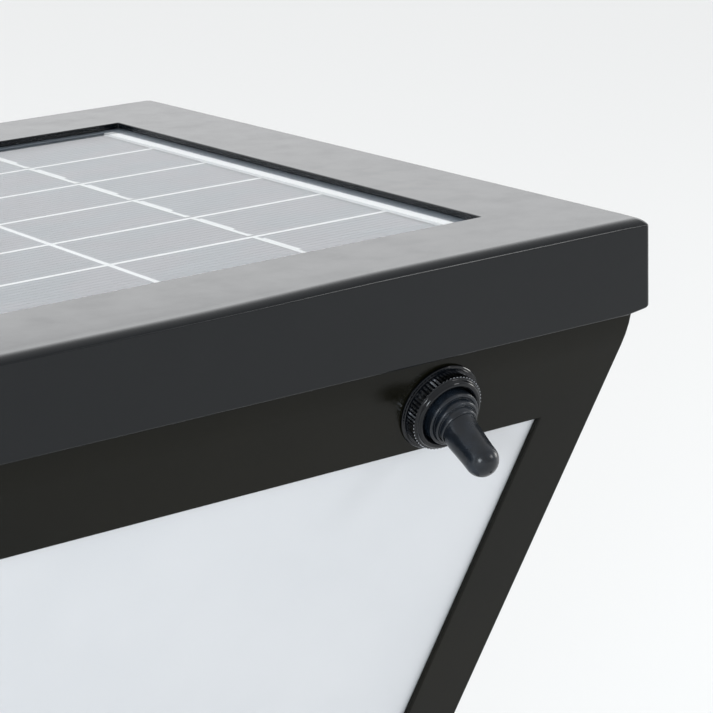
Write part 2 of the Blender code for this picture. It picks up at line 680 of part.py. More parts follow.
def build_boot(frame, outside, inside, rubber):
    """Skin the boot: outside up to the closed tip, then back down the inside."""
    segments = 28
    mesh_data = bmesh.new()
    outer, inner = ([[mesh_data.verts.new(point) for point in circle(radius, z, segments)]
                     for radius, z in profile] for profile in (outside, inside))
    outer_tip = mesh_data.verts.new((0, 0, outside[-1][1] + 0.05 * MM))
    inner_tip = mesh_data.verts.new((0, 0, inside[0][1] + 0.2 * MM))
    for rings in (outer, inner):
        for lower, upper in zip(rings, rings[1:]):
            for i in range(segments):
                j = (i + 1) % segments
                mesh_data.faces.new((lower[i], lower[j], upper[j], upper[i]))
    for i in range(segments):
        j = (i + 1) % segments
        mesh_data.faces.new((outer[-1][i], outer[-1][j], outer_tip))
        mesh_data.faces.new((inner[0][i], inner_tip, inner[0][j]))
        mesh_data.faces.new((outer[0][i], inner[-1][i], inner[-1][j], outer[0][j]))
    return add_object("switch_boot", mesh_data, rubber, frame)


def build_rocker(frame, brass):
    """Make the see-saw contact that the lever's tail tips over."""
    pivot = build_pivot("rocker_pivot", frame, -ROCKER_DEPTH, -ROCKER_LEAN)
    box("switch_rocker", (-5 * MM, -5 * MM, 1.6 * MM), (5 * MM, 5 * MM, 2.6 * MM), brass, pivot)


# ---------------------------------------------------------------- assembly

def main():
    """Build the whole lamp."""
    clear_scene()
    paint = make_material("black_paint", (0.022, 0.023, 0.024), 0.32)
    milky = make_material("milky_acrylic", (0.80, 0.83, 0.87), 0.35)
    clear = make_material("clear_film", (0.75, 0.80, 0.84), 0.06)
    silicon = make_material("solar_cell", (0.10, 0.13, 0.20), 0.25)
    board = make_material("panel_board_white", (0.80, 0.80, 0.80), 0.5)
    sealant = make_material("sealant", (0.05, 0.05, 0.05), 0.6)
    plastic = make_material("black_plastic", (0.03, 0.03, 0.03), 0.5)
    zinc = make_material("zinc_sheet", (0.55, 0.56, 0.57), 0.4, 1.0)
    steel = make_material("steel_screw", (0.50, 0.50, 0.50), 0.3, 1.0)
    nickel = make_material("nickel", (0.62, 0.60, 0.56), 0.25, 1.0)
    brass = make_material("brass", (0.70, 0.52, 0.25), 0.3, 1.0)
    black_metal = make_material("black_metal", (0.03, 0.03, 0.03), 0.3, 0.3)
    phenolic = make_material("phenolic", (0.06, 0.04, 0.03), 0.5)
    rubber = make_material("boot_rubber", (0.015, 0.016, 0.02), 0.35)
    jacket = make_material("cell_jacket", (0.05, 0.25, 0.60), 0.4)
    green = make_material("circuit_green", (0.03, 0.20, 0.08), 0.4)
    white = make_material("white_plastic", (0.82, 0.82, 0.80), 0.5)
    red_lead = make_material("red_lead", (0.55, 0.03, 0.02), 0.45)
    black_lead = make_material("black_lead", (0.03, 0.03, 0.03), 0.45)

    switch_frame = build_switch_frame()
    build_cap(paint)
    build_panel(clear, silicon, board, sealant, plastic)
    build_body(paint, milky, zinc, switch_frame)
    build_tray(zinc)
    for index, (x, y) in enumerate(corner_places(STUD_PLACE)):
        build_screw(f"tray_screw_{index + 1}", (x, y, TRAY_TOP - TRAY_SHEET - GAP),
                    3.2 * MM, 2.0 * MM, 1.4 * MM, 6 * MM, steel, (0, 0, -1))
    for name, side in (("left", -1), ("right", 1)):
        build_screw(f"cap_screw_{name}", (side * (CAP_HALF + GAP), 0, CAP_SCREW_Z),
                    3.4 * MM, 2.2 * MM, 1.5 * MM, 8 * MM, steel, (side, 0, 0))
    build_electronics(plastic, jacket, green, white)
    build_leads(black_lead, red_lead)
    build_base(paint)
    build_switch_fixed(switch_frame, brass, nickel, black_metal, phenolic)
    build_lever(switch_frame, nickel, rubber)
    build_rocker(switch_frame, brass)


main()
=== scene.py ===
"""Fine surfaces and finishes of a solar lantern head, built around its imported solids.

Each sub-assembly is a class that holds its own sizes, in metres, and builds and
dresses its own pieces.  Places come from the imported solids' boxes.
"""
from __future__ import annotations

import json
import logging
import math
from dataclasses import dataclass, field
from enum import Enum
from typing import Callable, Iterable, Sequence

import bmesh
import bpy
from mathutils import Matrix, Vector, noise

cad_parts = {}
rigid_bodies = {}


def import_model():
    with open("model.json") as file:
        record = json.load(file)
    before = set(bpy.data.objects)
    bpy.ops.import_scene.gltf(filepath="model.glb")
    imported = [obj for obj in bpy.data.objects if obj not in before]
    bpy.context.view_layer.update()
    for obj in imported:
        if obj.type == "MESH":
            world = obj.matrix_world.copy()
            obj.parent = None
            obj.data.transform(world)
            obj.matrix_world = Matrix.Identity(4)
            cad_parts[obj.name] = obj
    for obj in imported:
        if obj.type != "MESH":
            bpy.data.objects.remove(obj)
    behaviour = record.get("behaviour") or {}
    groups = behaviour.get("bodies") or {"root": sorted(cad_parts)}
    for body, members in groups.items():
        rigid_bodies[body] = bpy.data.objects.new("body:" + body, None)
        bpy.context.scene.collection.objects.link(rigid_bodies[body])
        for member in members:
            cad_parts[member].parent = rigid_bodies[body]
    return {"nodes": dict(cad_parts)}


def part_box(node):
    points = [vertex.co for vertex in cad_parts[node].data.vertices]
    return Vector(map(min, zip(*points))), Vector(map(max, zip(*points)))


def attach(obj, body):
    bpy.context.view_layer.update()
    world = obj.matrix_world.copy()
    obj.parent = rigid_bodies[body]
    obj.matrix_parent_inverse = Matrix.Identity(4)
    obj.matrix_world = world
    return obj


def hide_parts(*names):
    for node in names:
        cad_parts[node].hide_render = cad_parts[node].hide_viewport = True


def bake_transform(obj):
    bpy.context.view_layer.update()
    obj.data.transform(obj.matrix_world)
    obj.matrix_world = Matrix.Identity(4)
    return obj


log = logging.getLogger("lantern")

MM = 0.001
Colour = tuple[float, float, float]
Profile = list[tuple[float, float]]


class Slot(Enum):
    """The record's material slots, by name."""

    PAINT = "black_paint"
    MILKY = "milky_acrylic"
    FILM = "clear_film"
    SILICON = "solar_cell"
    BOARD = "panel_board"
    SEALANT = "sealant"
    PLASTIC = "black_plastic"
    ZINC = "zinc_sheet"
    STEEL = "steel_screw"
    JACKET = "cell_jacket"
    GREEN = "circuit_green"
    WHITE = "white_plastic"
    RED_LEAD = "red_lead"
    BLACK_LEAD = "black_lead"
    BLACK_METAL = "black_metal"
    NICKEL = "nickel"
    BRASS = "brass"
    PHENOLIC = "phenolic"
    RUBBER = "boot_rubber"


@dataclass(frozen=True)
class PackedSolids:
    """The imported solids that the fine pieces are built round."""

    nodes: dict[str, bpy.types.Object]

    def dress(self, material: bpy.types.Material, *names: str) -> None:
        """Give solids that stay in view their finish.

        Args:
            material: The finish.
            names: The solids' names.
        """
        for name in names:
            for slot in self.nodes[name].material_slots:
                slot.material = material


# ------------------------------------------------------------------ shader bench

class ShaderBench:
    """A material under construction, with its nodes wired by short calls."""

    def __init__(self, name: str) -> None:
        """Start a material that holds one Principled shader.

        Args:
            name: The material's name.
        """
        self.material = bpy.data.materials.new(name)
        self.material.use_nodes = True
        self.nodes = self.material.node_tree.nodes
        self.links = self.material.node_tree.links
        self.shader = self.nodes["Principled BSDF"]
        self.output = self.nodes["Material Output"]
        self._place: bpy.types.Node | None = None

    def add(self, kind: str, **settings: object) -> bpy.types.Node:
        """Add a node and set its properties.

        Args:
            kind: The node's Blender type.
            settings: Properties of the node, by name.

        Returns:
            The new node.
        """
        node = self.nodes.new(kind)
        for key, value in settings.items():
            setattr(node, key, value)
        return node

    def wire(self, source: bpy.types.NodeSocket, target: bpy.types.NodeSocket) -> None:
        """Join an output to an input."""
        self.links.new(source, target)

    def place(self) -> bpy.types.NodeSocket:
        """Return the object coordinates, which are metres in the lamp's frame.

        Returns:
            The coordinates' output.
        """
        if self._place is None:
            self._place = self.add("ShaderNodeTexCoord")
        return self._place.outputs["Object"]

    def stretched(self, scale: Sequence[float]) -> bpy.types.NodeSocket:
        """Return the object coordinates scaled unevenly.

        Args:
            scale: Factor along each axis.

        Returns:
            The scaled coordinates.
        """
        mapping = self.add("ShaderNodeMapping")
        mapping.inputs["Scale"].default_value = scale
        self.wire(self.place(), mapping.inputs["Vector"])
        return mapping.outputs["Vector"]

    def noise(self, size: float, detail: float = 2.0, rough: float = 0.5,
              vector: bpy.types.NodeSocket | None = None) -> bpy.types.NodeSocket:
        """Return a noise value whose features are about as wide as asked.

        Args:
            size: Width of a feature in metres.
            detail: Number of finer octaves.
            rough: Strength of the finer octaves.
            vector: Coordinates, or None for plain object coordinates.

        Returns:
            The noise node's value output.
        """
        node = self.add("ShaderNodeTexNoise")
        node.inputs["Scale"].default_value = 1.0 / size
        node.inputs["Detail"].default_value = detail
        node.inputs["Roughness"].default_value = rough
        self.wire(vector or self.place(), node.inputs["Vector"])
        return node.outputs["Fac"]

    def span(self, value: bpy.types.NodeSocket, low: float, high: float,
             to_low: float, to_high: float) -> bpy.types.NodeSocket:
        """Return a value mapped from one range to another and clamped.

        Args:
            value: The value to map.
            low: Start of its range.
            high: End of its range.
            to_low: What the start becomes.
            to_high: What the end becomes.

        Returns:
            The mapped value.
        """
        node = self.add("ShaderNodeMapRange")
        for name, number in (("From Min", low), ("From Max", high),
                             ("To Min", to_low), ("To Max", to_high)):
            node.inputs[name].default_value = number
        self.wire(value, node.inputs["Value"])
        return node.outputs["Result"]

    def blend(self, share: bpy.types.NodeSocket, first: Colour | bpy.types.NodeSocket,
              second: Colour) -> bpy.types.NodeSocket:
        """Return a colour between two, by a share from 0 to 1.

        Args:
            share: How much of the second colour shows.
            first: A colour, or a node's colour output.
            second: The other colour.

        Returns:
            The mixed colour.
        """
        node = self.add("ShaderNodeMix", data_type="RGBA")
        sockets = {socket.identifier: socket for socket in node.inputs}
        if isinstance(first, tuple):
            sockets["A_Color"].default_value = (*first, 1.0)
        else:
            self.wire(first, sockets["A_Color"])
        sockets["B_Color"].default_value = (*second, 1.0)
        self.wire(share, sockets["Factor_Float"])
        return next(s for s in node.outputs if s.identifier == "Result_Color")

    def bump(self, height: bpy.types.NodeSocket, depth: float) -> None:
        """Give the surface relief of a given depth in metres.

        Args:
            height: Relief from 0 to 1.
            depth: Its depth in metres.
        """
        node = self.add("ShaderNodeBump")
        node.inputs["Distance"].default_value = depth
        node.inputs["Strength"].default_value = 1.0
        previous = self.shader.inputs["Normal"]
        if previous.is_linked:
            self.wire(previous.links[0].from_socket, node.inputs["Normal"])
        self.wire(height, node.inputs["Height"])
        self.wire(node.outputs["Normal"], previous)

    def set(self, values: dict[str, float | Colour]) -> None:
        """Set constants on the shader's own sockets.

        Args:
            values: Numbers or colours by the socket's name.
        """
        for name, value in values.items():
            socket = self.shader.inputs[name]
            socket.default_value = (*value, 1.0) if isinstance(value, tuple) else value


# ------------------------------------------------------------------ finishes

@dataclass(frozen=True)
class PaintedEdgeHighlight:
    """A painted highlight: a thin light line along an edge that stands in for a reflection, with its height
    band and colour.
    """

    low: float
    high: float
    colour: Colour = (0.36, 0.35, 0.31)
    patch: float = 14 * MM
    least: float = 0.44
    most: float = 0.56


@dataclass(frozen=True)
class Enamel:
    """Sprayed gloss enamel with an orange peel, a faint mottle and painted highlight lines along its edges.
    """

    name: str
    colour: Colour
    shade: Colour
    painted_highlights: tuple[PaintedEdgeHighlight, ...] = ()
    roughness: float = 0.19
    specular: float = 0.5
    peel_size: float = 2.2 * MM
    peel_depth: float = 0.010 * MM
    grit_depth: float = 0.0022 * MM

    def rub(self, bench: ShaderBench, colour: bpy.types.NodeSocket,
            edge: PaintedEdgeHighlight) -> bpy.types.NodeSocket:
        """Return the colour with one painted highlight line laid over it.

        Args:
            bench: The material under construction.
            colour: The colour so far.
            edge: The painted highlight line.

        Returns:
            The new colour.
        """
        split = bench.add("ShaderNodeSeparateXYZ")
        bench.wire(bench.place(), split.inputs[0])
        soft = 0.05 * MM
        above = bench.span(split.outputs["Z"], edge.low - soft, edge.low, 0, 1)
        below = bench.span(split.outputs["Z"], edge.high, edge.high + soft, 1, 0)
        patch = bench.span(bench.noise(edge.patch, 4.0, 0.65), edge.least, edge.most, 0, 1)
        band = bench.add("ShaderNodeMath", operation="MULTIPLY")
        bench.wire(above, band.inputs[0])
        bench.wire(below, band.inputs[1])
        share = bench.add("ShaderNodeMath", operation="MULTIPLY")
        bench.wire(band.outputs[0], share.inputs[0])
        bench.wire(patch, share.inputs[1])
        return bench.blend(share.outputs[0], colour, edge.colour)

    def material(self) -> bpy.types.Material:
        """Return the enamel as a material.

        Returns:
            The new material.
        """
        bench = ShaderBench(self.name)
        mottle = bench.noise(38 * MM, 3.0)
        colour = bench.blend(bench.span(mottle, 0.35, 0.65, 0, 1), self.colour, self.shade)
        # Lay each painted highlight: a light line along an edge that stands in for a reflection.
        for edge in self.painted_highlights:
            colour = self.rub(bench, colour, edge)
        bench.wire(colour, bench.shader.inputs["Base Color"])
        gloss = bench.noise(9 * MM, 4.0, 0.6)
        bench.wire(bench.span(gloss, 0.3, 0.7, self.roughness * 0.8, self.roughness * 1.3),
                   bench.shader.inputs["Roughness"])
        bench.bump(bench.noise(self.peel_size, 1.0), self.peel_depth)
        bench.bump(bench.noise(0.45 * MM, 1.0), self.grit_depth)
        bench.set({"Specular IOR Level": self.specular})
        return bench.material


@dataclass(frozen=True)
class MilkyAcrylic:
    """Opal acrylic sheet with a satin face and a faint cloudiness."""

    name: str = "opal acrylic"
    colour: Colour = (0.655, 0.667, 0.688)
    shade: Colour = (0.625, 0.64, 0.663)

    def material(self) -> bpy.types.Material:
        """Return the acrylic as a material.

        Returns:
            The new material.
        """
        bench = ShaderBench(self.name)
        cloud = bench.noise(30 * MM, 2.0)
        bench.wire(bench.blend(bench.span(cloud, 0.3, 0.7, 0, 1), self.colour, self.shade),
                   bench.shader.inputs["Base Color"])
        satin = bench.noise(4 * MM, 3.0)
        bench.wire(bench.span(satin, 0.3, 0.7, 0.38, 0.46), bench.shader.inputs["Roughness"])
        bench.bump(bench.noise(0.7 * MM, 2.0), 0.002 * MM)
        return bench.material


@dataclass(frozen=True)
class ClearFilm:
    """Clear laminating film: it mirrors by angle and lets the cells show."""

    name: str = "laminating film"
    tint: Colour = (0.97, 0.98, 0.99)
    roughness: float = 0.07

    def material(self) -> bpy.types.Material:
        """Return the film as a material.

        Returns:
            The new material.
        """
        bench = ShaderBench(self.name)
        clear = bench.add("ShaderNodeBsdfTransparent")
        clear.inputs["Color"].default_value = (*self.tint, 1.0)
        mirror = bench.add("ShaderNodeBsdfGlossy")
        mirror.inputs["Roughness"].default_value = self.roughness
        ripple = bench.add("ShaderNodeBump")
        ripple.inputs["Distance"].default_value = 0.004 * MM
        bench.wire(bench.noise(6 * MM, 1.0), ripple.inputs["Height"])
        bench.wire(ripple.outputs["Normal"], mirror.inputs["Normal"])
        angle = bench.add("ShaderNodeFresnel")
        angle.inputs["IOR"].default_value = 1.3
        side = bench.add("ShaderNodeNewGeometry")
        mix = bench.add("ShaderNodeMixShader")
        outside = bench.span(side.outputs["Backfacing"], 0, 1, 1, 0)
        gloss = bench.add("ShaderNodeMath", operation="MULTIPLY")
        bench.wire(angle.outputs["Fac"], gloss.inputs[0])
        bench.wire(outside, gloss.inputs[1])
        bench.wire(gloss.outputs[0], mix.inputs[0])
        bench.wire(clear.outputs[0], mix.inputs[1])
        bench.wire(mirror.outputs[0], mix.inputs[2])
        bench.wire(mix.outputs[0], bench.output.inputs["Surface"])
        bench.nodes.remove(bench.shader)
        return bench.material


@dataclass(frozen=True)
class Silicon:
    """Crystalline cells: large crystals of two tints and fine sawn lines."""

    name: str = "crystalline silicon"
    cool: Colour = (0.050, 0.068, 0.085)
    plum: Colour = (0.070, 0.066, 0.082)

    def material(self) -> bpy.types.Material:
        """Return the cells' surface as a material.

        Returns:
            The new material.
        """
        bench = ShaderBench(self.name)
        cloud = bench.noise(26 * MM, 2.0, 0.5, bench.stretched((1.0, 1.6, 1.0)))
        bench.wire(bench.blend(bench.span(cloud, 0.44, 0.56, 0, 1), self.cool, self.plum),
                   bench.shader.inputs["Base Color"])
        grain = bench.noise(0.5 * MM, 3.0, 0.6, bench.stretched((0.04, 1.0, 1.0)))
        bench.wire(bench.span(grain, 0.3, 0.7, 0.30, 0.45), bench.shader.inputs["Roughness"])
        bench.bump(grain, 0.003 * MM)
        bench.set({"Specular IOR Level": 0.20})
        return bench.material


@dataclass(frozen=True)
class PlainSkin:
    """Any moulded, printed or extruded skin: one colour with a fine texture."""

    name: str
    colour: Colour
    roughness: float = 0.5
    grain_size: float = 0.4 * MM
    grain_depth: float = 0.006 * MM
    contrast: float = 0.12
    metallic: float = 0.0
    specular: float = 0.5

    def material(self) -> bpy.types.Material:
        """Return the skin as a material.

        Returns:
            The new material.
        """
        bench = ShaderBench(self.name)
        darker = tuple(c * (1 - self.contrast) for c in self.colour)
        cloud = bench.noise(self.grain_size * 20, 3.0)
        bench.wire(bench.blend(bench.span(cloud, 0.3, 0.7, 0, 1), self.colour, darker),
                   bench.shader.inputs["Base Color"])
        rub = bench.noise(self.grain_size * 6, 3.0)
        bench.wire(bench.span(rub, 0.3, 0.7, self.roughness * 0.88, self.roughness * 1.12),
                   bench.shader.inputs["Roughness"])
        bench.bump(bench.noise(self.grain_size, 2.0), self.grain_depth)
        bench.set({"Metallic": self.metallic, "Specular IOR Level": self.specular})
        return bench.material


@dataclass(frozen=True)
class BootRubber:
    """Glossy moulded rubber with a soft bloom and mould grain."""

    name: str = "boot rubber"
    colour: Colour = (0.0045, 0.0065, 0.0095)
    bloom: Colour = (0.009, 0.014, 0.022)
    roughness: float = 0.22

    def material(self) -> bpy.types.Material:
        """Return the rubber as a material.

        Returns:
            The new material.
        """
        bench = ShaderBench(self.name)
        cloud = bench.noise(3.5 * MM, 4.0, 0.6)
        bench.wire(bench.blend(bench.span(cloud, 0.4, 0.7, 0, 1), self.colour, self.bloom),
                   bench.shader.inputs["Base Color"])
        bench.wire(bench.span(cloud, 0.3, 0.7, self.roughness * 0.8, self.roughness * 1.4),
                   bench.shader.inputs["Roughness"])
        bench.bump(bench.noise(0.8 * MM, 3.0), 0.010 * MM)
        bench.set({"Specular IOR Level": 0.42})
        return bench.material


class Finishes:
    """Every finish of the lamp, made once."""

    def __init__(self) -> None:
        """Make the materials."""
        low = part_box("cap_frame")[0]
        # The light line along the cap's lower hem is a painted highlight: it stands in for the reflection on
        # the hem's roll.
        hem = PaintedEdgeHighlight(low.z - 0.2 * MM, low.z + 0.26 * MM, colour=(0.90, 0.88, 0.80), least=0.30, most=0.38)
        self.cap = Enamel("cap enamel", (0.0018, 0.0030, 0.0044), (0.0030, 0.0042, 0.0056),
                          (hem,), specular=0.32).material()
        self.body = Enamel("body enamel", (0.0050, 0.0046, 0.0022), (0.0036, 0.0036, 0.0020),
                           specular=0.16).material()
        self.opal = MilkyAcrylic().material()
        self.film = ClearFilm().material()
        self.silicon = Silicon().material()
        self.silver = PlainSkin("silver print", (0.56, 0.56, 0.535), 0.42, 0.2 * MM,
                                0.004 * MM, 0.05, specular=0.25).material()
        self.dull_silver = PlainSkin("solder", (0.36, 0.36, 0.35), 0.42, 0.2 * MM,
                                     0.004 * MM, 0.1, specular=0.25).material()
        self.finger = PlainSkin("finger print", (0.12, 0.13, 0.145), 0.4, 0.2 * MM,
                                0.002 * MM, 0.05, specular=0.25).material()
        self.laminate = PlainSkin("white laminate", (0.60, 0.595, 0.575), 0.45, 0.3 * MM,
                                  0.003 * MM, 0.03, specular=0.25).material()
        # The blue-grey margin colour is painted shade: it stands in for the white laminate shaded by the
        # cap's wall round the opening.
        self.painted_shade_margin = PlainSkin("blue-grey backing", (0.11, 0.13, 0.15), 0.45, 0.3 * MM,
                                 0.003 * MM, 0.05).material()
        self.sealant = PlainSkin("silicone", (0.03, 0.03, 0.03), 0.5, 0.8 * MM, 0.03 * MM).material()
        self.plastic = PlainSkin("moulded plastic", (0.03, 0.03, 0.03), 0.45).material()
        self.zinc = PlainSkin("zinc plate", (0.55, 0.56, 0.58), 0.36, 1.2 * MM, 0.004 * MM,
                              0.18, 1.0).material()
        self.steel = PlainSkin("blackened steel", (0.10, 0.10, 0.10), 0.32, 0.3 * MM,
                               0.003 * MM, 0.2, 1.0).material()
        self.nickel = PlainSkin("nickel plate", (0.66, 0.63, 0.58), 0.22, 0.3 * MM,
                                0.002 * MM, 0.1, 1.0).material()
        self.brass = PlainSkin("brass", (0.72, 0.53, 0.26), 0.28, 0.3 * MM, 0.002 * MM,
                               0.12, 1.0).material()
        self.black_metal = PlainSkin("black plated ring", (0.002, 0.003, 0.005), 0.11, 0.5 * MM,
                                     0.002 * MM, 0.3, 0.0, 0.33).material()
        # The knurl ridges get a bright metal of their own, unlike the black ring they are part of: painted
        # highlight, so that they glint.
        self.knurl = PlainSkin("knurl painted glints", (0.36, 0.375, 0.40), 0.2, 0.5 * MM, 0.003 * MM,
                               0.2, 1.0).material()
        self.phenolic = PlainSkin("phenolic", (0.055, 0.035, 0.025), 0.42).material()
        self.rubber = BootRubber().material()
        self.jacket = PlainSkin("shrink sleeve", (0.04, 0.22, 0.58), 0.3, 1 * MM,
                                0.01 * MM).material()
        self.green = PlainSkin("solder mask", (0.02, 0.17, 0.06), 0.3, 0.6 * MM,
                               0.01 * MM).material()
        self.white = PlainSkin("white nylon", (0.80, 0.80, 0.77), 0.45).material()
        self.lamp = PlainSkin("phosphor", (0.85, 0.66, 0.18), 0.4, 0.2 * MM, 0.002 * MM).material()
        self.red_lead = PlainSkin("red insulation", (0.50, 0.03, 0.02), 0.4).material()
        self.black_lead = PlainSkin("black insulation", (0.025, 0.025, 0.025), 0.4).material()


# ------------------------------------------------------------------ mesh helpers

MERGE_DISTANCE = 1e-7


def link_mesh(name: str, mesh_data: bmesh.types.BMesh, material: bpy.types.Material,
              sharp: float = 32.0) -> bpy.types.Object:
    """Turn a bmesh into a linked object with smooth shading and sharp creases.

    Args:
        name: The object's name.
        mesh_data: The shape, which is freed.
        material: Its finish.
        sharp: Angle in degrees above which an edge stays sharp.

    Returns:
        The new object.
    """
    mesh = bpy.data.meshes.new(name)
    mesh_data.to_mesh(mesh)
    mesh_data.free()
    mesh.materials.append(material)
    mesh.shade_smooth()
    mesh.set_sharp_from_angle(angle=math.radians(sharp))
    thing = bpy.data.objects.new(name, mesh)
    bpy.context.scene.collection.objects.link(thing)
    return thing


def face_out(mesh_data: bmesh.types.BMesh) -> bmesh.types.BMesh:
    """Merge doubled points and turn the faces outwards.

    Args:
        mesh_data: The shape.

    Returns:
        The same shape.
    """
    bmesh.ops.remove_doubles(mesh_data, verts=mesh_data.verts, dist=MERGE_DISTANCE)
    bmesh.ops.recalc_face_normals(mesh_data, faces=mesh_data.faces)
    return mesh_data


def arc(centre: tuple[float, float], radius: float, start: float, end: float,
        steps: int) -> Profile:
    """Return points on an arc, with angles in degrees."""
    angles = [math.radians(start + (end - start) * i / steps) for i in range(steps + 1)]
    return [(centre[0] + radius * math.cos(a), centre[1] + radius * math.sin(a)) for a in angles]


def rounded_square(half: float, corner: float, z: float, arc_steps: int = 8,
                   side_steps: int = 12) -> list[Vector]:
    """Return a level square with round corners and evenly divided sides.

    Args:
        half: Half the square's width.
        corner: Radius of its corners.
        z: Its height.
        arc_steps: Steps round each corner.
        side_steps: Parts that each side is divided into.

    Returns:
        The points, anticlockwise from above.
    """
    corner = max(corner, 0.05 * MM)
    points: list[Vector] = []
    flat = half - corner
    for quarter in range(4):
        turn = Matrix.Rotation(math.pi / 2 * quarter, 3, "Z")
        for x, y in arc((flat, flat), corner, 0, 90, arc_steps):
            points.append(turn @ Vector((x, y, z)))
        for step in range(1, side_steps):
            share = step / side_steps
            points.append(turn @ Vector((flat * (1 - 2 * share), half, z)))
    return points


def skin_rings(rings: Sequence[Sequence[Vector]], closed: bool) -> bmesh.types.BMesh:
    """Skin rings of points; the skin closes on itself or gets flat caps.

    Args:
        rings: Rings with the same number of points.
        closed: True to join the last ring to the first.

    Returns:
        The skin, faces outwards.
    """
    mesh_data = bmesh.new()
    grid = [[mesh_data.verts.new(point) for point in ring] for ring in rings]
    pairs = list(zip(grid, grid[1:])) + ([(grid[-1], grid[0])] if closed else [])
    count = len(grid[0])
    for lower, upper in pairs:
        for i in range(count):
            j = (i + 1) % count
            mesh_data.faces.new((lower[i], lower[j], upper[j], upper[i]))
    if not closed:
        mesh_data.faces.new(grid[0])
        mesh_data.faces.new(grid[-1])
    return face_out(mesh_data)


def turned(profile: Profile, segments: int = 96, closed: bool = True) -> bmesh.types.BMesh:
    """Turn a profile of (radius, height) points about Z.

    Args:
        profile: The points; radius 0 is not used.
        segments: Number of steps round the axis.
        closed: True where the profile is a closed outline, as of a ring.

    Returns:
        The turned shape.
    """
    rings = []
    for radius, height in profile:
        rings.append([Vector((radius * math.cos(2 * math.pi * i / segments),
                              radius * math.sin(2 * math.pi * i / segments), height))
                      for i in range(segments)])
    return skin_rings(rings, closed)


def smooth_profile(points: Profile, steps: int = 5, tension: float = 0.5) -> Profile:
    """Return a smooth curve through the given profile points.

    Args:
        points: The points to pass through.
        steps: New points for each given one.
        tension: Strength of the curve's tangents.

    Returns:
        The curve's points.
    """
    route: Profile = []
    ends = [points[0]] + list(points) + [points[-1]]
    for a, b, c, d in zip(ends, ends[1:], ends[2:], ends[3:]):
        for step in range(steps):
            t = step / steps
            weights = (-tension * t + 2 * tension * t ** 2 - tension * t ** 3,
                       1 + (tension - 3) * t ** 2 + (2 - tension) * t ** 3,
                       tension * t + (3 - 2 * tension) * t ** 2 + (tension - 2) * t ** 3,
                       -tension * t ** 2 + tension * t ** 3)
            route.append(tuple(sum(w * p[k] for w, p in zip(weights, (a, b, c, d)))
                               for k in (0, 1)))
    route.append(points[-1])
    return route


def join(first: bpy.types.Object, others: Iterable[bpy.types.Object]) -> bpy.types.Object:
    """Put several plain meshes into the first one's mesh, materials kept.

    Args:
        first: The object that stays.
        others: The objects that go into it and are removed.

    Returns:
        The first object.
    """
    mesh_data = bmesh.new()
    mesh_data.from_mesh(first.data)
    for other in others:
        slots = []
        for material in other.data.materials:
            if material.name not in first.data.materials:
                first.data.materials.append(material)
            slots.append(first.data.materials.find(material.name))
        start = len(mesh_data.faces)
        mesh_data.from_mesh(other.data)
        mesh_data.faces.ensure_lookup_table()
        for face in mesh_data.faces[start:]:
            face.material_index = slots[face.material_index]
        bpy.data.objects.remove(other, do_unlink=True)
    mesh_data.to_mesh(first.data)
    mesh_data.free()
    return first


def bake_modifiers(thing: bpy.types.Object) -> bpy.types.Object:
    """Replace the object's mesh by its evaluated one and drop the modifiers.

    Args:
        thing: The object.

    Returns:
        The same object.
    """
    bpy.context.view_layer.update()
    graph = bpy.context.evaluated_depsgraph_get()
    mesh = bpy.data.meshes.new_from_object(thing.evaluated_get(graph))
    thing.modifiers.clear()
    thing.data = mesh
    return thing


def settle_normals(thing: bpy.types.Object) -> bpy.types.Object:
    """Shade flat areas flat right up to their rounded edges.

    Args:
        thing: The object.

    Returns:
        The same object.
    """
    modifier = thing.modifiers.new("Normals", "WEIGHTED_NORMAL")
    modifier.keep_sharp = True
    modifier.weight = 100
    return bake_modifiers(thing)


# ------------------------------------------------------------------ geometry nodes

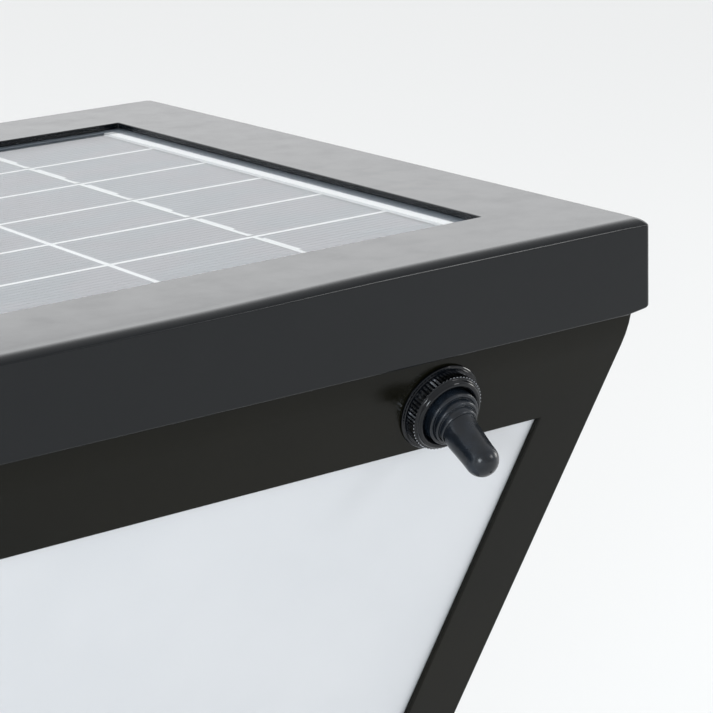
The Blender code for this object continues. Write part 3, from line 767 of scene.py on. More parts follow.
class NodeBoard:
    """A Geometry Nodes tree under construction, with named inputs."""

    def __init__(self, name: str) -> None:
        """Start an empty tree with a geometry input and output.

        Args:
            name: The tree's name.
        """
        self.tree = bpy.data.node_groups.new(name, "GeometryNodeTree")
        for side in ("INPUT", "OUTPUT"):
            self.tree.interface.new_socket("Geometry", in_out=side,
                                           socket_type="NodeSocketGeometry")
        self.entry = self.tree.nodes.new("NodeGroupInput")
        self.exit = self.tree.nodes.new("NodeGroupOutput")
        self.identifiers: dict[str, str] = {}

    def named_input(self, name: str, kind: str) -> bpy.types.NodeSocket:
        """Add a named input of a kind such as Float, Int, Vector or Material.

        Args:
            name: The input's name.
            kind: Its kind.

        Returns:
            The input's socket inside the tree.
        """
        socket = self.tree.interface.new_socket(name, in_out="INPUT",
                                                socket_type=f"NodeSocket{kind}")
        self.identifiers[name] = socket.identifier
        return self.entry.outputs[name]

    def add(self, kind: str, settings: dict[str, object] | None = None,
            **inputs: object) -> bpy.types.Node:
        """Add a node, set its properties and feed its inputs.

        Args:
            kind: The node's type without the GeometryNode prefix, or in full.
            settings: Properties of the node.
            inputs: Sockets to link, or values to set, by name with underscores.

        Returns:
            The new node.
        """
        full = kind if kind.startswith(("Function", "Shader", "Geometry")) else f"GeometryNode{kind}"
        node = self.tree.nodes.new(full)
        for key, value in (settings or {}).items():
            setattr(node, key, value)
        for key, value in inputs.items():
            socket = node.inputs[key.replace("_", " ")]
            if isinstance(value, bpy.types.NodeSocket):
                self.tree.links.new(value, socket)
            else:
                socket.default_value = value
        return node

    def finish(self, geometry: bpy.types.NodeSocket) -> None:
        """Realize the instances, set the material and end the tree.

        Args:
            geometry: The geometry that the tree gives.
        """
        material = self.named_input("Finish", "Material")
        real = self.add("RealizeInstances", Geometry=geometry)
        dressed = self.add("SetMaterial", Geometry=real.outputs[0], Material=material)
        self.tree.links.new(dressed.outputs[0], self.exit.inputs[0])

    def grow(self, name: str, values: dict[str, object],
             source: bpy.types.Mesh | None = None) -> bpy.types.Object:
        """Run the tree on an object and keep the result as a plain mesh.

        Args:
            name: The new object's name.
            values: The named inputs' values.
            source: The mesh that the tree starts from, or None.

        Returns:
            The finished object.
        """
        thing = bpy.data.objects.new(name, source or bpy.data.meshes.new(name))
        bpy.context.scene.collection.objects.link(thing)
        modifier = thing.modifiers.new("Grow", "NODES")
        modifier.node_group = self.tree
        for key, value in values.items():
            modifier[self.identifiers[key]] = value
        bake_modifiers(thing)
        thing.data.materials.clear()
        thing.data.materials.append(values["Finish"])
        thing.data.polygons.foreach_set("material_index", [0] * len(thing.data.polygons))
        return thing


def bar_rows_board() -> NodeBoard:
    """Return a tree that lays equal bars on a level grid, some a little astray.

    Returns:
        The finished tree.
    """
    board = NodeBoard("bar rows")
    width = board.named_input("Grid Width", "Float")
    depth = board.named_input("Grid Depth", "Float")
    columns = board.named_input("Columns", "Int")
    rows = board.named_input("Rows", "Int")
    size = board.named_input("Bar Size", "Vector")
    centre = board.named_input("Centre", "Vector")
    stray = board.named_input("Stray", "Vector")
    seed = board.named_input("Seed", "Int")
    grid = board.add("MeshGrid", Size_X=width, Size_Y=depth, Vertices_X=columns, Vertices_Y=rows)
    low = board.add("ShaderNodeVectorMath", {"operation": "SCALE"})
    board.tree.links.new(stray, low.inputs[0])
    low.inputs["Scale"].default_value = -1.0
    chance = board.add("FunctionNodeRandomValue", {"data_type": "FLOAT_VECTOR"}, Seed=seed)
    board.tree.links.new(low.outputs[0], chance.inputs[0])
    board.tree.links.new(stray, chance.inputs[1])
    moved = board.add("SetPosition", Geometry=grid.outputs["Mesh"], Offset=chance.outputs[0])
    cube = board.add("MeshCube", Size=size)
    rows_of = board.add("InstanceOnPoints", Points=moved.outputs[0], Instance=cube.outputs["Mesh"])
    placed = board.add("Transform", Geometry=rows_of.outputs[0], Translation=centre)
    board.finish(placed.outputs[0])
    return board


def knurl_board() -> NodeBoard:
    """Return a tree that sets upright ridges round a ring.

    Returns:
        The finished tree.
    """
    board = NodeBoard("knurl")
    ridges = board.named_input("Ridges", "Int")
    radius = board.named_input("Radius", "Float")
    ridge_width = board.named_input("Ridge Width", "Float")
    length = board.named_input("Length", "Float")
    height = board.named_input("Height", "Float")
    circle = board.add("MeshCircle", Vertices=ridges, Radius=radius)
    prism = board.add("MeshCylinder", {"fill_type": "NGON"}, Vertices=6, Radius=ridge_width,
                      Depth=length)
    where = board.add("InputPosition")
    facing = board.add("FunctionNodeAlignEulerToVector", {"axis": "X"})
    board.tree.links.new(where.outputs[0], facing.inputs["Vector"])
    around = board.add("InstanceOnPoints", Points=circle.outputs[0], Instance=prism.outputs[0],
                       Rotation=facing.outputs[0])
    lift = board.add("ShaderNodeCombineXYZ", Z=height)
    placed = board.add("Transform", Geometry=around.outputs[0], Translation=lift.outputs[0])
    board.finish(placed.outputs[0])
    return board


def sweep_board() -> NodeBoard:
    """Return a tree that sweeps a round bead along a square with round corners.

    Returns:
        The finished tree.
    """
    board = NodeBoard("bead sweep")
    width = board.named_input("Width", "Float")
    corner = board.named_input("Corner", "Float")
    bead = board.named_input("Bead", "Float")
    height = board.named_input("Height", "Float")
    square = board.add("CurvePrimitiveQuadrilateral", Width=width, Height=width)
    rounded = board.add("FilletCurve", {"mode": "POLY"}, Curve=square.outputs[0], Radius=corner,
                        Limit_Radius=True, Count=8)
    profile = board.add("CurvePrimitiveCircle", Resolution=16, Radius=bead)
    tube = board.add("CurveToMesh", Curve=rounded.outputs[0],
                     Profile_Curve=profile.outputs["Curve"])
    lift = board.add("ShaderNodeCombineXYZ", Z=height)
    placed = board.add("Transform", Geometry=tube.outputs[0], Translation=lift.outputs[0])
    smooth = board.add("SetShadeSmooth", Geometry=placed.outputs[0])
    board.finish(smooth.outputs[0])
    return board


def studding_board() -> NodeBoard:
    """Return a tree that sets one object on every point, turned to its facing.

    Returns:
        The finished tree.
    """
    board = NodeBoard("studding")
    model = board.named_input("Model", "Object")
    source = board.add("ObjectInfo", Object=model)
    facing = board.add("InputNamedAttribute", {"data_type": "FLOAT_VECTOR"}, Name="facing")
    turn = board.add("FunctionNodeAlignEulerToVector", {"axis": "Z"})
    board.tree.links.new(facing.outputs["Attribute"], turn.inputs["Vector"])
    studs = board.add("InstanceOnPoints", Points=board.entry.outputs["Geometry"],
                      Instance=source.outputs["Geometry"], Rotation=turn.outputs[0])
    board.finish(studs.outputs[0])
    return board


# ------------------------------------------------------------------ cap

@dataclass
class CapShell:
    """The pressed cap: skirt, rolled top edge, top frame and opening."""

    finishes: Finishes
    height: float = 20 * MM
    sheet: float = 1.1 * MM
    corner: float = 1.2 * MM
    crown: float = 3.4 * MM
    crown_sweep: float = 48.0
    edge_round: float = 0.9 * MM
    hem_roll: float = 0.45 * MM
    opening: float = 75 * MM
    opening_roll: float = 0.22 * MM
    opening_depth: float = 1.33 * MM
    unevenness: float = 0.02 * MM
    hem_corner_lift: float = 1.2 * MM
    top_corner_drop: float = 0.3 * MM
    corner_reach: float = 5 * MM
    sag: float = 0.68 * MM
    sag_start: float = 38 * MM
    sag_length: float = 52 * MM
    stud_place: float = 88 * MM
    stud_radius: float = 3.4 * MM
    stud_bore: float = 1.9 * MM
    fade_reach: float = 4 * MM
    lip_width: float = 1.5 * MM

    def wall(self) -> list[tuple[float, float, float]]:
        """Return (half width, height, corner radius) round the sheet's section.

        Returns:
            The points, from the hem up, over the top and back inside.
        """
        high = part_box("cap_frame")[1]
        half, top = high.x, high.z
        bottom = top - self.height
        inner = half - self.sheet
        section: list[tuple[float, float, float]] = []

        def follow(points: Profile, corner_at: Callable[[float], float]) -> None:
            """Add profile points with the corner radius at each."""
            section.extend((h, z, corner_at(h)) for h, z in points)

        def outside(h: float) -> float:
            """Return the corner radius of the outer skin."""
            return max(0.7 * MM, self.corner - 0.2 * (half - h))

        def inside(h: float) -> float:
            """Return the corner radius round the opening."""
            return 0.35 * MM + (h - self.opening)

        turn = math.radians(self.crown_sweep)
        crown_in = half - self.edge_round - (self.crown - self.edge_round) * math.sin(turn)
        edge_centre = (half - self.edge_round,
                       top - self.crown + (self.crown - self.edge_round) * math.cos(turn))
        follow(arc((half - self.hem_roll, bottom + self.hem_roll), self.hem_roll, -90, 0, 6), outside)
        follow([(half, bottom + self.height * s) for s in (0.1, 0.2, 0.4, 0.6, 0.75)], outside)
        follow(arc(edge_centre, self.edge_round, 0, 90 - self.crown_sweep, 6), outside)
        follow(arc((crown_in, top - self.crown), self.crown, 90 - self.crown_sweep, 90, 12)[1:],
               outside)
        follow([(crown_in - 2 * MM, top), (crown_in - 5 * MM, top)], outside)
        follow([(self.opening + 6 * MM, top)], lambda h: 0.7 * MM)
        roll = self.opening_roll
        follow(arc((self.opening + roll, top - roll), roll, 90, 180, 4), inside)
        follow([(self.opening, top - self.opening_depth)], inside)
        follow([(self.opening + self.lip_width, top - self.opening_depth)], inside)
        follow([(self.opening + self.lip_width, top - self.sheet)], inside)
        follow([(inner, top - self.sheet), (inner, bottom + 0.2 * MM),
                (inner + 0.2 * MM, bottom)], outside)
        return section

    def hand_finish(self, point: Vector, low: Vector, high: Vector) -> Vector:
        """Return a point moved as the press and the file have left it.

        Args:
            point: A point of the true shape.
            low: The cap's lowest corner; not used.
            high: The cap's highest corner.

        Returns:
            The moved point.
        """
        from_corner = high.x - min(abs(point.x), abs(point.y))
        near = max(0.0, 1 - from_corner / self.corner_reach) ** 2
        from_hem = (point.z - (high.z - self.height)) / self.fade_reach
        from_top = (high.z - point.z) / self.fade_reach
        moved = point.copy()
        moved.z += self.hem_corner_lift * near * max(0.0, 1 - from_hem)
        moved.z -= self.top_corner_drop * near * max(0.0, 1 - from_top)
        along = min(1.0, max(0.0, (self.sag_start - point.x) / self.sag_length))
        along = along * along * (3 - 2 * along)
        out = min(1.0, max(0.0, (-point.y - (high.y - 12 * MM)) / (9 * MM)))
        moved.z -= self.sag * along * out * out * (3 - 2 * out) * max(0.0, 1 - from_top)
        return moved

    def build(self) -> bpy.types.Object:
        """Make the cap with its four threaded studs.

        Returns:
            The cap.
        """
        low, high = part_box("cap_frame")
        rings = []
        for half, z, corner in self.wall():
            ring = []
            for point in rounded_square(half, corner, z, side_steps=40):
                sway = noise.noise_vector(point * 34.0) * self.unevenness
                sway.z *= 0.3
                if half > self.opening + 2 * MM:
                    point = self.hand_finish(point, low, high) + sway * 0.5
                ring.append(Vector((min(high.x, max(low.x, point.x)),
                                    min(high.y, max(low.y, point.y)), min(high.z, point.z))))
            rings.append(ring)
        cap = link_mesh("cap_shell", skin_rings(rings, True), self.finishes.cap, 50)
        top = high.z - self.sheet * 0.6
        stud = [(self.stud_bore, low.z), (self.stud_radius, low.z), (self.stud_radius, top),
                (self.stud_bore, top)]
        studs = []
        for sx in (-1, 1):
            for sy in (-1, 1):
                shape = turned(stud, 32)
                shape.transform(Matrix.Translation((sx * self.stud_place, sy * self.stud_place, 0)))
                studs.append(link_mesh("stud", shape, self.finishes.cap))
        join(cap, studs)
        settle_normals(cap)
        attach(cap, "root")
        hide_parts("cap_frame")
        log.info("cap shell: %d faces", len(cap.data.polygons))
        return cap


# ------------------------------------------------------------------ panel

@dataclass
class SolarPanel:
    """The laminated panel: film, twelve cells, printed lines, board and bead."""

    solids: PackedSolids
    finishes: Finishes
    columns: int = 2
    rows: int = 6
    fingers_per_cell: int = 13
    finger_size: tuple[float, float, float] = (67.4 * MM, 0.16 * MM, 0.03 * MM)
    film_thick: float = 0.14 * MM
    margin_edge: float = 78.5 * MM
    side_line: float = 2.5 * MM
    side_lap: float = 0.7 * MM
    print_clearance: float = 0.03 * MM
    tab_width: float = 1.15 * MM
    strap_width: float = 0.95 * MM
    bead_inset: float = 4 * MM
    bead_corner: float = 3 * MM
    bead_radius: float = 1.4 * MM
    seed: int = 7

    def lay(self, board: "NodeBoard", name: str, grid: tuple[float, float, int, int],
            bar: tuple[float, float, float], centre: tuple[float, float, float],
            finish: bpy.types.Material, stray: tuple[float, float, float] = (0, 0, 0),
            ) -> bpy.types.Object:
        """Lay equal bars on a grid.

        Args:
            board: The tree that lays them.
            name: The piece's name.
            grid: Width, depth, columns and rows of the grid.
            bar: Size of one bar.
            centre: Middle of the grid.
            finish: The bars' finish.
            stray: How far a bar may lie astray.

        Returns:
            The piece.
        """
        width, depth, columns, rows = grid
        piece = board.grow(name, {
            "Grid Width": width, "Grid Depth": depth, "Columns": columns, "Rows": rows,
            "Bar Size": bar, "Centre": centre, "Stray": stray, "Seed": self.seed,
            "Finish": finish})
        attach(piece, "root")
        return piece

    def build_film(self) -> None:
        """Make the clear film over the cells."""
        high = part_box("panel_cover")[1]
        edge = 0.05 * MM
        rings = [rounded_square(half, 1.0 * MM, z) for half, z in (
            (high.x - edge, high.z - self.film_thick), (high.x, high.z - self.film_thick + edge),
            (high.x, high.z - edge), (high.x - edge, high.z))]
        film = link_mesh("clear_film", skin_rings(rings, False), self.finishes.film)
        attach(film, "root")
        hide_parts("panel_cover")

    def build_lines(self, board: "NodeBoard") -> None:
        """Lay the white lines between the cells and round them.

        Args:
            board: The tree that lays bars on a grid.
        """
        low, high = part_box("solar_cell_1_1")
        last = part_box(f"solar_cell_{self.columns}_{self.rows}")[1]
        size = high - low
        pitch_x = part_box("solar_cell_2_1")[0].x - low.x
        pitch_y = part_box("solar_cell_1_2")[0].y - low.y
        thick = size.z
        level = low.z + thick / 2
        gap_x = pitch_x - size.x - self.print_clearance
        gap_y = pitch_y - size.y - self.print_clearance
        white = self.finishes.laminate
        self.lay(board, "row_lines", (pitch_x, pitch_y * (self.rows - 2), self.columns, self.rows - 1),
                 (size.x, gap_y, thick), (0, 0, level), white)
        self.lay(board, "column_line", (0, 0, 1, 1), (gap_x, last.y * 2, thick), (0, 0, level), white)
        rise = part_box("panel_cover")[1].z - self.film_thick - self.print_clearance
        rim = rise - low.z
        raised = low.z + rim / 2
        line = last.x - self.side_lap
        over = rise - high.z - self.print_clearance
        self.lay(board, "side_lines", (line * 2 + self.side_line, 0, 2, 1),
                 (self.side_line, last.y * 2, over), (0, 0, rise - over / 2), white)
        line += self.side_line + self.print_clearance
        side = self.margin_edge - line
        # The margins outside the side lines take the painted-shade blue-grey, in place of shaded white
        # laminate beside the cap's wall.
        self.lay(board, "side_margins", (line * 2 + side, 0, 2, 1),
                 (side, self.margin_edge * 2, rim), (0, 0, raised), self.finishes.painted_shade_margin)
        end = self.margin_edge - last.y - self.print_clearance
        self.lay(board, "end_margins", (0, last.y * 2 + end + self.print_clearance * 2, 1, 2),
                 ((line - self.print_clearance) * 2, end, rim), (0, 0, raised),
                 self.finishes.painted_shade_margin)

    def build(self) -> None:
        """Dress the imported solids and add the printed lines."""
        cells = [f"solar_cell_{c}_{r}" for c in range(1, self.columns + 1)
                 for r in range(1, self.rows + 1)]
        self.solids.dress(self.finishes.silicon, *cells)
        self.solids.dress(self.finishes.laminate, "panel_board")
        self.solids.dress(self.finishes.plastic, "panel_junction_box")
        self.build_film()
        board = bar_rows_board()
        self.build_lines(board)
        low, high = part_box("solar_cell_1_1")
        pitch_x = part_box("solar_cell_2_1")[0].x - low.x
        pitch_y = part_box("solar_cell_1_2")[0].y - low.y
        fingers = self.fingers_per_cell * self.rows
        step = pitch_y / self.fingers_per_cell
        self.lay(board, "cell_fingers", (pitch_x, step * (fingers - 1), self.columns, fingers),
                 self.finger_size, (0, 0, high.z + self.finger_size[2] / 2), self.finishes.finger)
        straps = (pitch_x, pitch_y * (self.rows - 1), self.columns, self.rows)
        self.lay(board, "tinned_tabs", straps, (self.tab_width, pitch_y * 0.93, 0.06 * MM),
                 (-0.6 * MM, 0.2 * MM, high.z + 0.07 * MM), self.finishes.silver,
                 (0.22 * MM, 0.25 * MM, 0))
        self.lay(board, "printed_straps", straps, (self.strap_width, pitch_y * 0.56, 0.05 * MM),
                 (0.28 * MM, 3.0 * MM, high.z + 0.06 * MM), self.finishes.silver,
                 (0.12 * MM, 0.9 * MM, 0))
        self.lay(board, "solder_pads", straps, (1.5 * MM, 1.7 * MM, 0.04 * MM),
                 (-0.25 * MM, -10.3 * MM, high.z + 0.055 * MM), self.finishes.dull_silver,
                 (0.2 * MM, 0.3 * MM, 0))
        seal_low, seal_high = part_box("panel_seal")
        bead = sweep_board().grow("panel_bead", {
            "Width": seal_high.x * 2 - self.bead_inset, "Corner": self.bead_corner,
            "Bead": self.bead_radius,
            "Height": (seal_low.z + seal_high.z) / 2, "Finish": self.finishes.sealant})
        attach(bead, "root")
        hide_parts("panel_seal")
        log.info("panel: %d cells", len(cells))


# ------------------------------------------------------------------ lantern body

@dataclass
class LanternBody:
    """Four tapered sides with windows, round corners and an upright collar."""

    solids: PackedSolids
    finishes: Finishes
    taper: float = 0.3087
    collar_half: float = 97.55 * MM
    bottom: float = 46 * MM
    fold: float = 213.3 * MM
    sheet: float = 1.3 * MM
    strip: float = 15.3 * MM
    sill: float = 60 * MM
    head: float = 194.2 * MM
    fold_radius: float = 40 * MM
    corner: float = 0.5 * MM
    rim_roll: float = 0.40 * MM
    corner_steps: int = 5
    seam: float = 0.02 * MM
    bore_radius: float = 6.3 * MM
    bore_reach: float = 8 * MM
    fold_steps: int = 5

    def half(self, z: float) -> float:
        """Return half the outer width at a height."""
        return self.collar_half - self.taper * max(0.0, self.fold - z)

    def section(self) -> list[tuple[float, float, Vector]]:
        """Return (half width, height, outward normal) up the side, window rows included.

        Returns:
            The rows, from the bottom up.
        """
        slope = math.atan(self.taper)
        reach = self.fold_radius * math.tan(slope / 2)
        rows: list[tuple[float, float, Vector]] = []
        leaning = Vector((math.cos(slope), -math.sin(slope)))
        for z in (self.bottom, self.sill, self.head):
            rows.append((self.half(z), z, leaning))
        centre = Vector((self.collar_half - self.fold_radius, self.fold + reach))
        for i in range(self.fold_steps + 1):
            angle = -slope * (1 - i / self.fold_steps)
            normal = Vector((math.cos(angle), math.sin(angle)))
            point = centre + normal * self.fold_radius
            rows.append((point.x, point.y, normal))
        rows.append((self.collar_half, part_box("front_frame")[1].z, Vector((1.0, 0.0))))
        return rows

    def side_mesh(self) -> tuple[bmesh.types.BMesh, list[bmesh.types.BMEdge]]:
        """Make the front side.

        Returns:
            The mesh and the outer edges of its window.
        """
        mesh_data = bmesh.new()
        outer_rows, inner_rows = [], []
        for half, z, normal in self.section():
            window_half = self.half(min(max(z, self.sill), self.head)) - self.strip
            outer = [(window_half, -half)]
            for i in range(self.corner_steps + 1):
                angle = math.radians(45 * i / self.corner_steps)
                outer.append((half - self.corner + self.corner * math.sin(angle) - self.seam,
                              -(half - self.corner + self.corner * math.cos(angle))))
            inner_half = half - self.sheet * normal.x
            inner_z = z - self.sheet * normal.y
            inner = [(window_half, -inner_half)]
            for i in range(self.corner_steps + 1):
                inner.append((inner_half - 0.06 * MM * (self.corner_steps - i) - self.seam,
                              -inner_half))
            for rows, plan, level in ((outer_rows, outer, z), (inner_rows, inner, inner_z)):
                right = [mesh_data.verts.new((x, y, level)) for x, y in plan]
                left = [mesh_data.verts.new((-x, y, level)) for x, y in plan]
                rows.append(list(reversed(left)) + right)
        width = len(outer_rows[0])
        middle = width // 2 - 1
        for rows in (outer_rows, inner_rows):
            for level, (low, high) in enumerate(zip(rows, rows[1:])):
                for i in range(width - 1):
                    if level == 1 and i == middle:
                        continue
                    mesh_data.faces.new((low[i], low[i + 1], high[i + 1], high[i]))
        rims = [(outer_rows[0], inner_rows[0]), (outer_rows[-1], inner_rows[-1])]
        for end in (0, -1):
            rims.append(([row[end] for row in outer_rows], [row[end] for row in inner_rows]))
        for outer_rim, inner_rim in rims:
            for i in range(len(outer_rim) - 1):
                mesh_data.faces.new((outer_rim[i], outer_rim[i + 1], inner_rim[i + 1], inner_rim[i]))
        corners = [(1, middle), (1, middle + 1), (2, middle + 1), (2, middle)]
        outer_ring = [outer_rows[r][c] for r, c in corners]
        inner_ring = [inner_rows[r][c] for r, c in corners]
        edges = []
        for i in range(4):
            j = (i + 1) % 4
            mesh_data.faces.new((outer_ring[i], outer_ring[j], inner_ring[j], inner_ring[i]))
            edges.append(mesh_data.edges.get((outer_ring[i], outer_ring[j])))
        return mesh_data, edges

    def build(self, place: Matrix) -> None:
        """Make the four sides and dress the panes and corner strips.

        Args:
            place: The switch's place on the front side.
        """
        for count, side in enumerate(("front", "right", "back", "left")):
            mesh_data, edges = self.side_mesh()
            bmesh.ops.recalc_face_normals(mesh_data, faces=mesh_data.faces)
            bmesh.ops.bevel(mesh_data, geom=edges, offset=self.rim_roll, segments=4,
                            profile=0.5, affect="EDGES")
            mesh_data.transform(Matrix.Rotation(math.pi / 2 * count, 4, "Z"))
            piece = link_mesh(f"{side}_side", face_out(mesh_data), self.finishes.body, 25)
            if side == "front":
                self.bore(piece, place)
            settle_normals(piece)
            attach(piece, "root")
            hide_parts(f"{side}_frame")
            self.solids.dress(self.finishes.opal, f"{side}_diffuser")
            self.solids.dress(self.finishes.zinc, f"corner_angle_{count + 1}")
        log.info("lantern body: four sides")

    def bore(self, piece: bpy.types.Object, place: Matrix) -> None:
        """Cut the bushing's hole through the front side.

        Args:
            piece: The front side.
            place: The switch's place on it.
        """
        rings = turned([(self.bore_radius, -self.bore_reach), (self.bore_radius, self.bore_reach)],
                       48, False)
        rings.transform(place)
        cutter = link_mesh("bore", rings, self.finishes.body)
        modifier = piece.modifiers.new("Bore", "BOOLEAN")
        modifier.object = cutter
        bake_modifiers(piece)
        bpy.data.objects.remove(cutter, do_unlink=True)


# ------------------------------------------------------------------ switch

@dataclass
class ToggleSwitch:
    """The booted toggle switch that stands out of the front side."""

    solids: PackedSolids
    finishes: Finishes
    body: LanternBody
    across: float = 47.75 * MM
    drop: float = 11.4 * MM
    cap_height: float = 20 * MM
    pivot_out: float = 1.8 * MM
    sleeve_reach: float = 13.9 * MM
    sleeve_radius: float = 3.5 * MM
    throw: float = math.radians(15)
    bend_start: float = 4.4 * MM
    bend_end: float = 9.4 * MM
    ridges: int = 60
    knurl_radius: float = 8.18 * MM
    ridge_radius: float = 0.26 * MM
    knurl_low: float = 1.04 * MM
    knurl_high: float = 2.92 * MM
    ring_profile: Profile = field(default_factory=lambda: [
        (6.35 * MM, 0.82 * MM), (8.62 * MM, 0.82 * MM), (8.76 * MM, 0.90 * MM),
        (8.76 * MM, 1.02 * MM), (7.96 * MM, 1.06 * MM), (7.96 * MM, 2.80 * MM),
        (8.22 * MM, 2.86 * MM), (8.22 * MM, 2.96 * MM), (7.98 * MM, 3.04 * MM),
        (7.82 * MM, 3.14 * MM), (7.76 * MM, 3.50 * MM), (7.64 * MM, 3.74 * MM),
        (7.48 * MM, 3.92 * MM), (7.24 * MM, 4.04 * MM), (6.98 * MM, 4.08 * MM),
        (6.76 * MM, 4.02 * MM), (6.52 * MM, 3.86 * MM), (6.36 * MM, 3.66 * MM),
        (6.28 * MM, 3.40 * MM), (6.24 * MM, 2.60 * MM), (6.20 * MM, 1.60 * MM)])
    boot_outside: Profile = field(default_factory=lambda: [
        (6.08 * MM, 2.90 * MM), (5.98 * MM, 3.30 * MM), (5.94 * MM, 4.60 * MM),
        (5.92 * MM, 5.16 * MM), (5.80 * MM, 5.36 * MM), (5.56 * MM, 5.44 * MM),
        (5.24 * MM, 5.42 * MM), (5.06 * MM, 5.30 * MM), (4.94 * MM, 5.34 * MM),
        (4.98 * MM, 5.60 * MM), (5.06 * MM, 6.10 * MM), (4.98 * MM, 6.34 * MM),
        (4.78 * MM, 6.46 * MM), (4.56 * MM, 6.44 * MM), (4.34 * MM, 6.32 * MM),
        (4.22 * MM, 6.40 * MM), (4.26 * MM, 6.80 * MM), (4.26 * MM, 7.20 * MM),
        (4.14 * MM, 7.42 * MM), (3.96 * MM, 7.46 * MM), (3.84 * MM, 7.40 * MM),
        (3.76 * MM, 7.52 * MM), (3.80 * MM, 8.40 * MM), (3.72 * MM, 10.2 * MM),
        (3.58 * MM, 12.6 * MM), (3.50 * MM, 14.6 * MM)])

    def place(self) -> Matrix:
        """Return the switch's place: Z along its axis, X across the side.

        Returns:
            The place as a matrix.
        """
        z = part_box("cap_frame")[1].z - self.cap_height - self.drop
        spot = Matrix.Translation((self.across, -self.body.half(z), z))
        return spot @ Matrix.Rotation(math.pi / 2 + math.atan(self.body.taper), 4, "X")

    def bend(self, point: Vector) -> Vector:
        """Lean a point of the straight boot as the lever rests.

        Args:
            point: A point of the straight boot.

        Returns:
            The moved point.
        """
        share = min(1.0, max(0.0, (point.z - self.bend_start) / (self.bend_end - self.bend_start)))
        share = share * share * (3 - 2 * share)
        pivot = Vector((0, 0, self.pivot_out))
        return pivot + Matrix.Rotation(self.throw * share, 3, "X") @ (point - pivot)

    def build_boot(self, place: Matrix) -> bpy.types.Object:
        """Make the rubber boot, which bends between the body and the lever.

        Args:
            place: The switch's place.

        Returns:
            The boot.
        """
        tip = self.pivot_out + self.sleeve_reach
        outside = smooth_profile(self.boot_outside, 2)
        outside += arc((0.0, tip), self.sleeve_radius, 0, 86, 14)[1:]
        outside = [(max(r, 0.15 * MM), z) for r, z in outside]
        inside = [(0.2 * MM, tip + 2.0 * MM), (2.0 * MM, tip + 1.7 * MM), (2.75 * MM, tip + 1.0 * MM),
                  (2.85 * MM, 9.6 * MM), (3.05 * MM, 8.2 * MM), (3.4 * MM, 6.9 * MM),
                  (4.4 * MM, 5.6 * MM), (4.8 * MM, 4.4 * MM), (5.3 * MM, 2.90 * MM)]
        mesh_data = turned(outside + inside, 72)
        for vertex in mesh_data.verts:
            vertex.co = self.bend(vertex.co)
        mesh_data.transform(place)
        boot = link_mesh("rubber_boot", mesh_data, self.finishes.rubber, 60)
        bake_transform(boot)
        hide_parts("switch_boot")
        return boot

    def build_ring(self, place: Matrix) -> bpy.types.Object:
        """Make the knurled ring that clamps the boot.

        Args:
            place: The switch's place.

        Returns:
            The ring with its ridges.
        """
        core = turned(self.ring_profile, 120)
        core.transform(place)
        ring = link_mesh("knurled_ring", core, self.finishes.black_metal, 50)
        # The ridges take the bright metal finish: painted glints on the black ring.
        ridges = knurl_board().grow("ridges", {
            "Ridges": self.ridges, "Radius": self.knurl_radius, "Ridge Width": self.ridge_radius,
            "Length": self.knurl_high - self.knurl_low,
            "Height": (self.knurl_high + self.knurl_low) / 2, "Finish": self.finishes.knurl})
        ridges.data.transform(place)
        join(ring, [ridges])
        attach(ring, "root")
        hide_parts("boot_ring")
        return ring

    def build_washer(self, place: Matrix) -> bpy.types.Object:
        """Make the thin washer behind the ring.

        Args:
            place: The switch's place.

        Returns:
            The washer.
        """
        profile = [(6.35 * MM, 0.02 * MM), (9.38 * MM, 0.02 * MM), (9.5 * MM, 0.14 * MM),
                   (9.5 * MM, 0.44 * MM), (9.38 * MM, 0.56 * MM), (9.0 * MM, 0.6 * MM),
                   (8.9 * MM, 0.78 * MM), (6.35 * MM, 0.78 * MM)]
        shape = turned(profile, 96)
        shape.transform(place)
        washer = link_mesh("flat_washer", shape, self.finishes.black_metal, 25)
        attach(washer, "root")
        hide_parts("switch_washer")
        return washer

    def build(self) -> None:
        """Make the visible pieces and dress those inside."""
        place = self.place()
        self.build_washer(place)
        self.build_ring(place)
        self.build_boot(place)
        self.solids.dress(self.finishes.nickel, "switch_bushing", "switch_nut", "switch_lever")
        self.solids.dress(self.finishes.brass, "lever_pin", "switch_rocker")
        self.solids.dress(self.finishes.phenolic, "switch_body")
        log.info("toggle switch: ring, washer and boot")


# ------------------------------------------------------------------ tray, neck, screws

@dataclass
class GearTray:
    """The pan under the cap with battery, controller and lamp board."""

    solids: PackedSolids
    finishes: Finishes
    lamps_each_way: int = 6
    lamp_pitch: float = 13 * MM
    lamp_size: tuple[float, float, float] = (3.5 * MM, 2.8 * MM, 0.8 * MM)

    def build(self) -> None:
        """Dress the CAD pieces and set the lamps on their board."""
        self.solids.dress(self.finishes.zinc, "gear_tray")
        self.solids.dress(self.finishes.plastic, "battery_holder")
        self.solids.dress(self.finishes.jacket, "battery_cell_1", "battery_cell_2")
        self.solids.dress(self.finishes.green, "controller_board")
        self.solids.dress(self.finishes.white, "controller_connector", "led_board")
        self.solids.dress(self.finishes.red_lead, "battery_lead")
        self.solids.dress(self.finishes.black_lead, "panel_lead", "led_lead", "switch_lead")
        span = self.lamp_pitch * (self.lamps_each_way - 1)
        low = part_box("led_board")[0].z
        lamps = bar_rows_board().grow("lamp_chips", {
            "Grid Width": span, "Grid Depth": span, "Columns": self.lamps_each_way,
            "Rows": self.lamps_each_way, "Bar Size": self.lamp_size,
            "Centre": (0, 0, low - self.lamp_size[2] / 2), "Stray": (0, 0, 0), "Seed": 1,
            "Finish": self.finishes.lamp})
        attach(lamps, "root")
        log.info("gear tray: %d lamps", self.lamps_each_way ** 2)


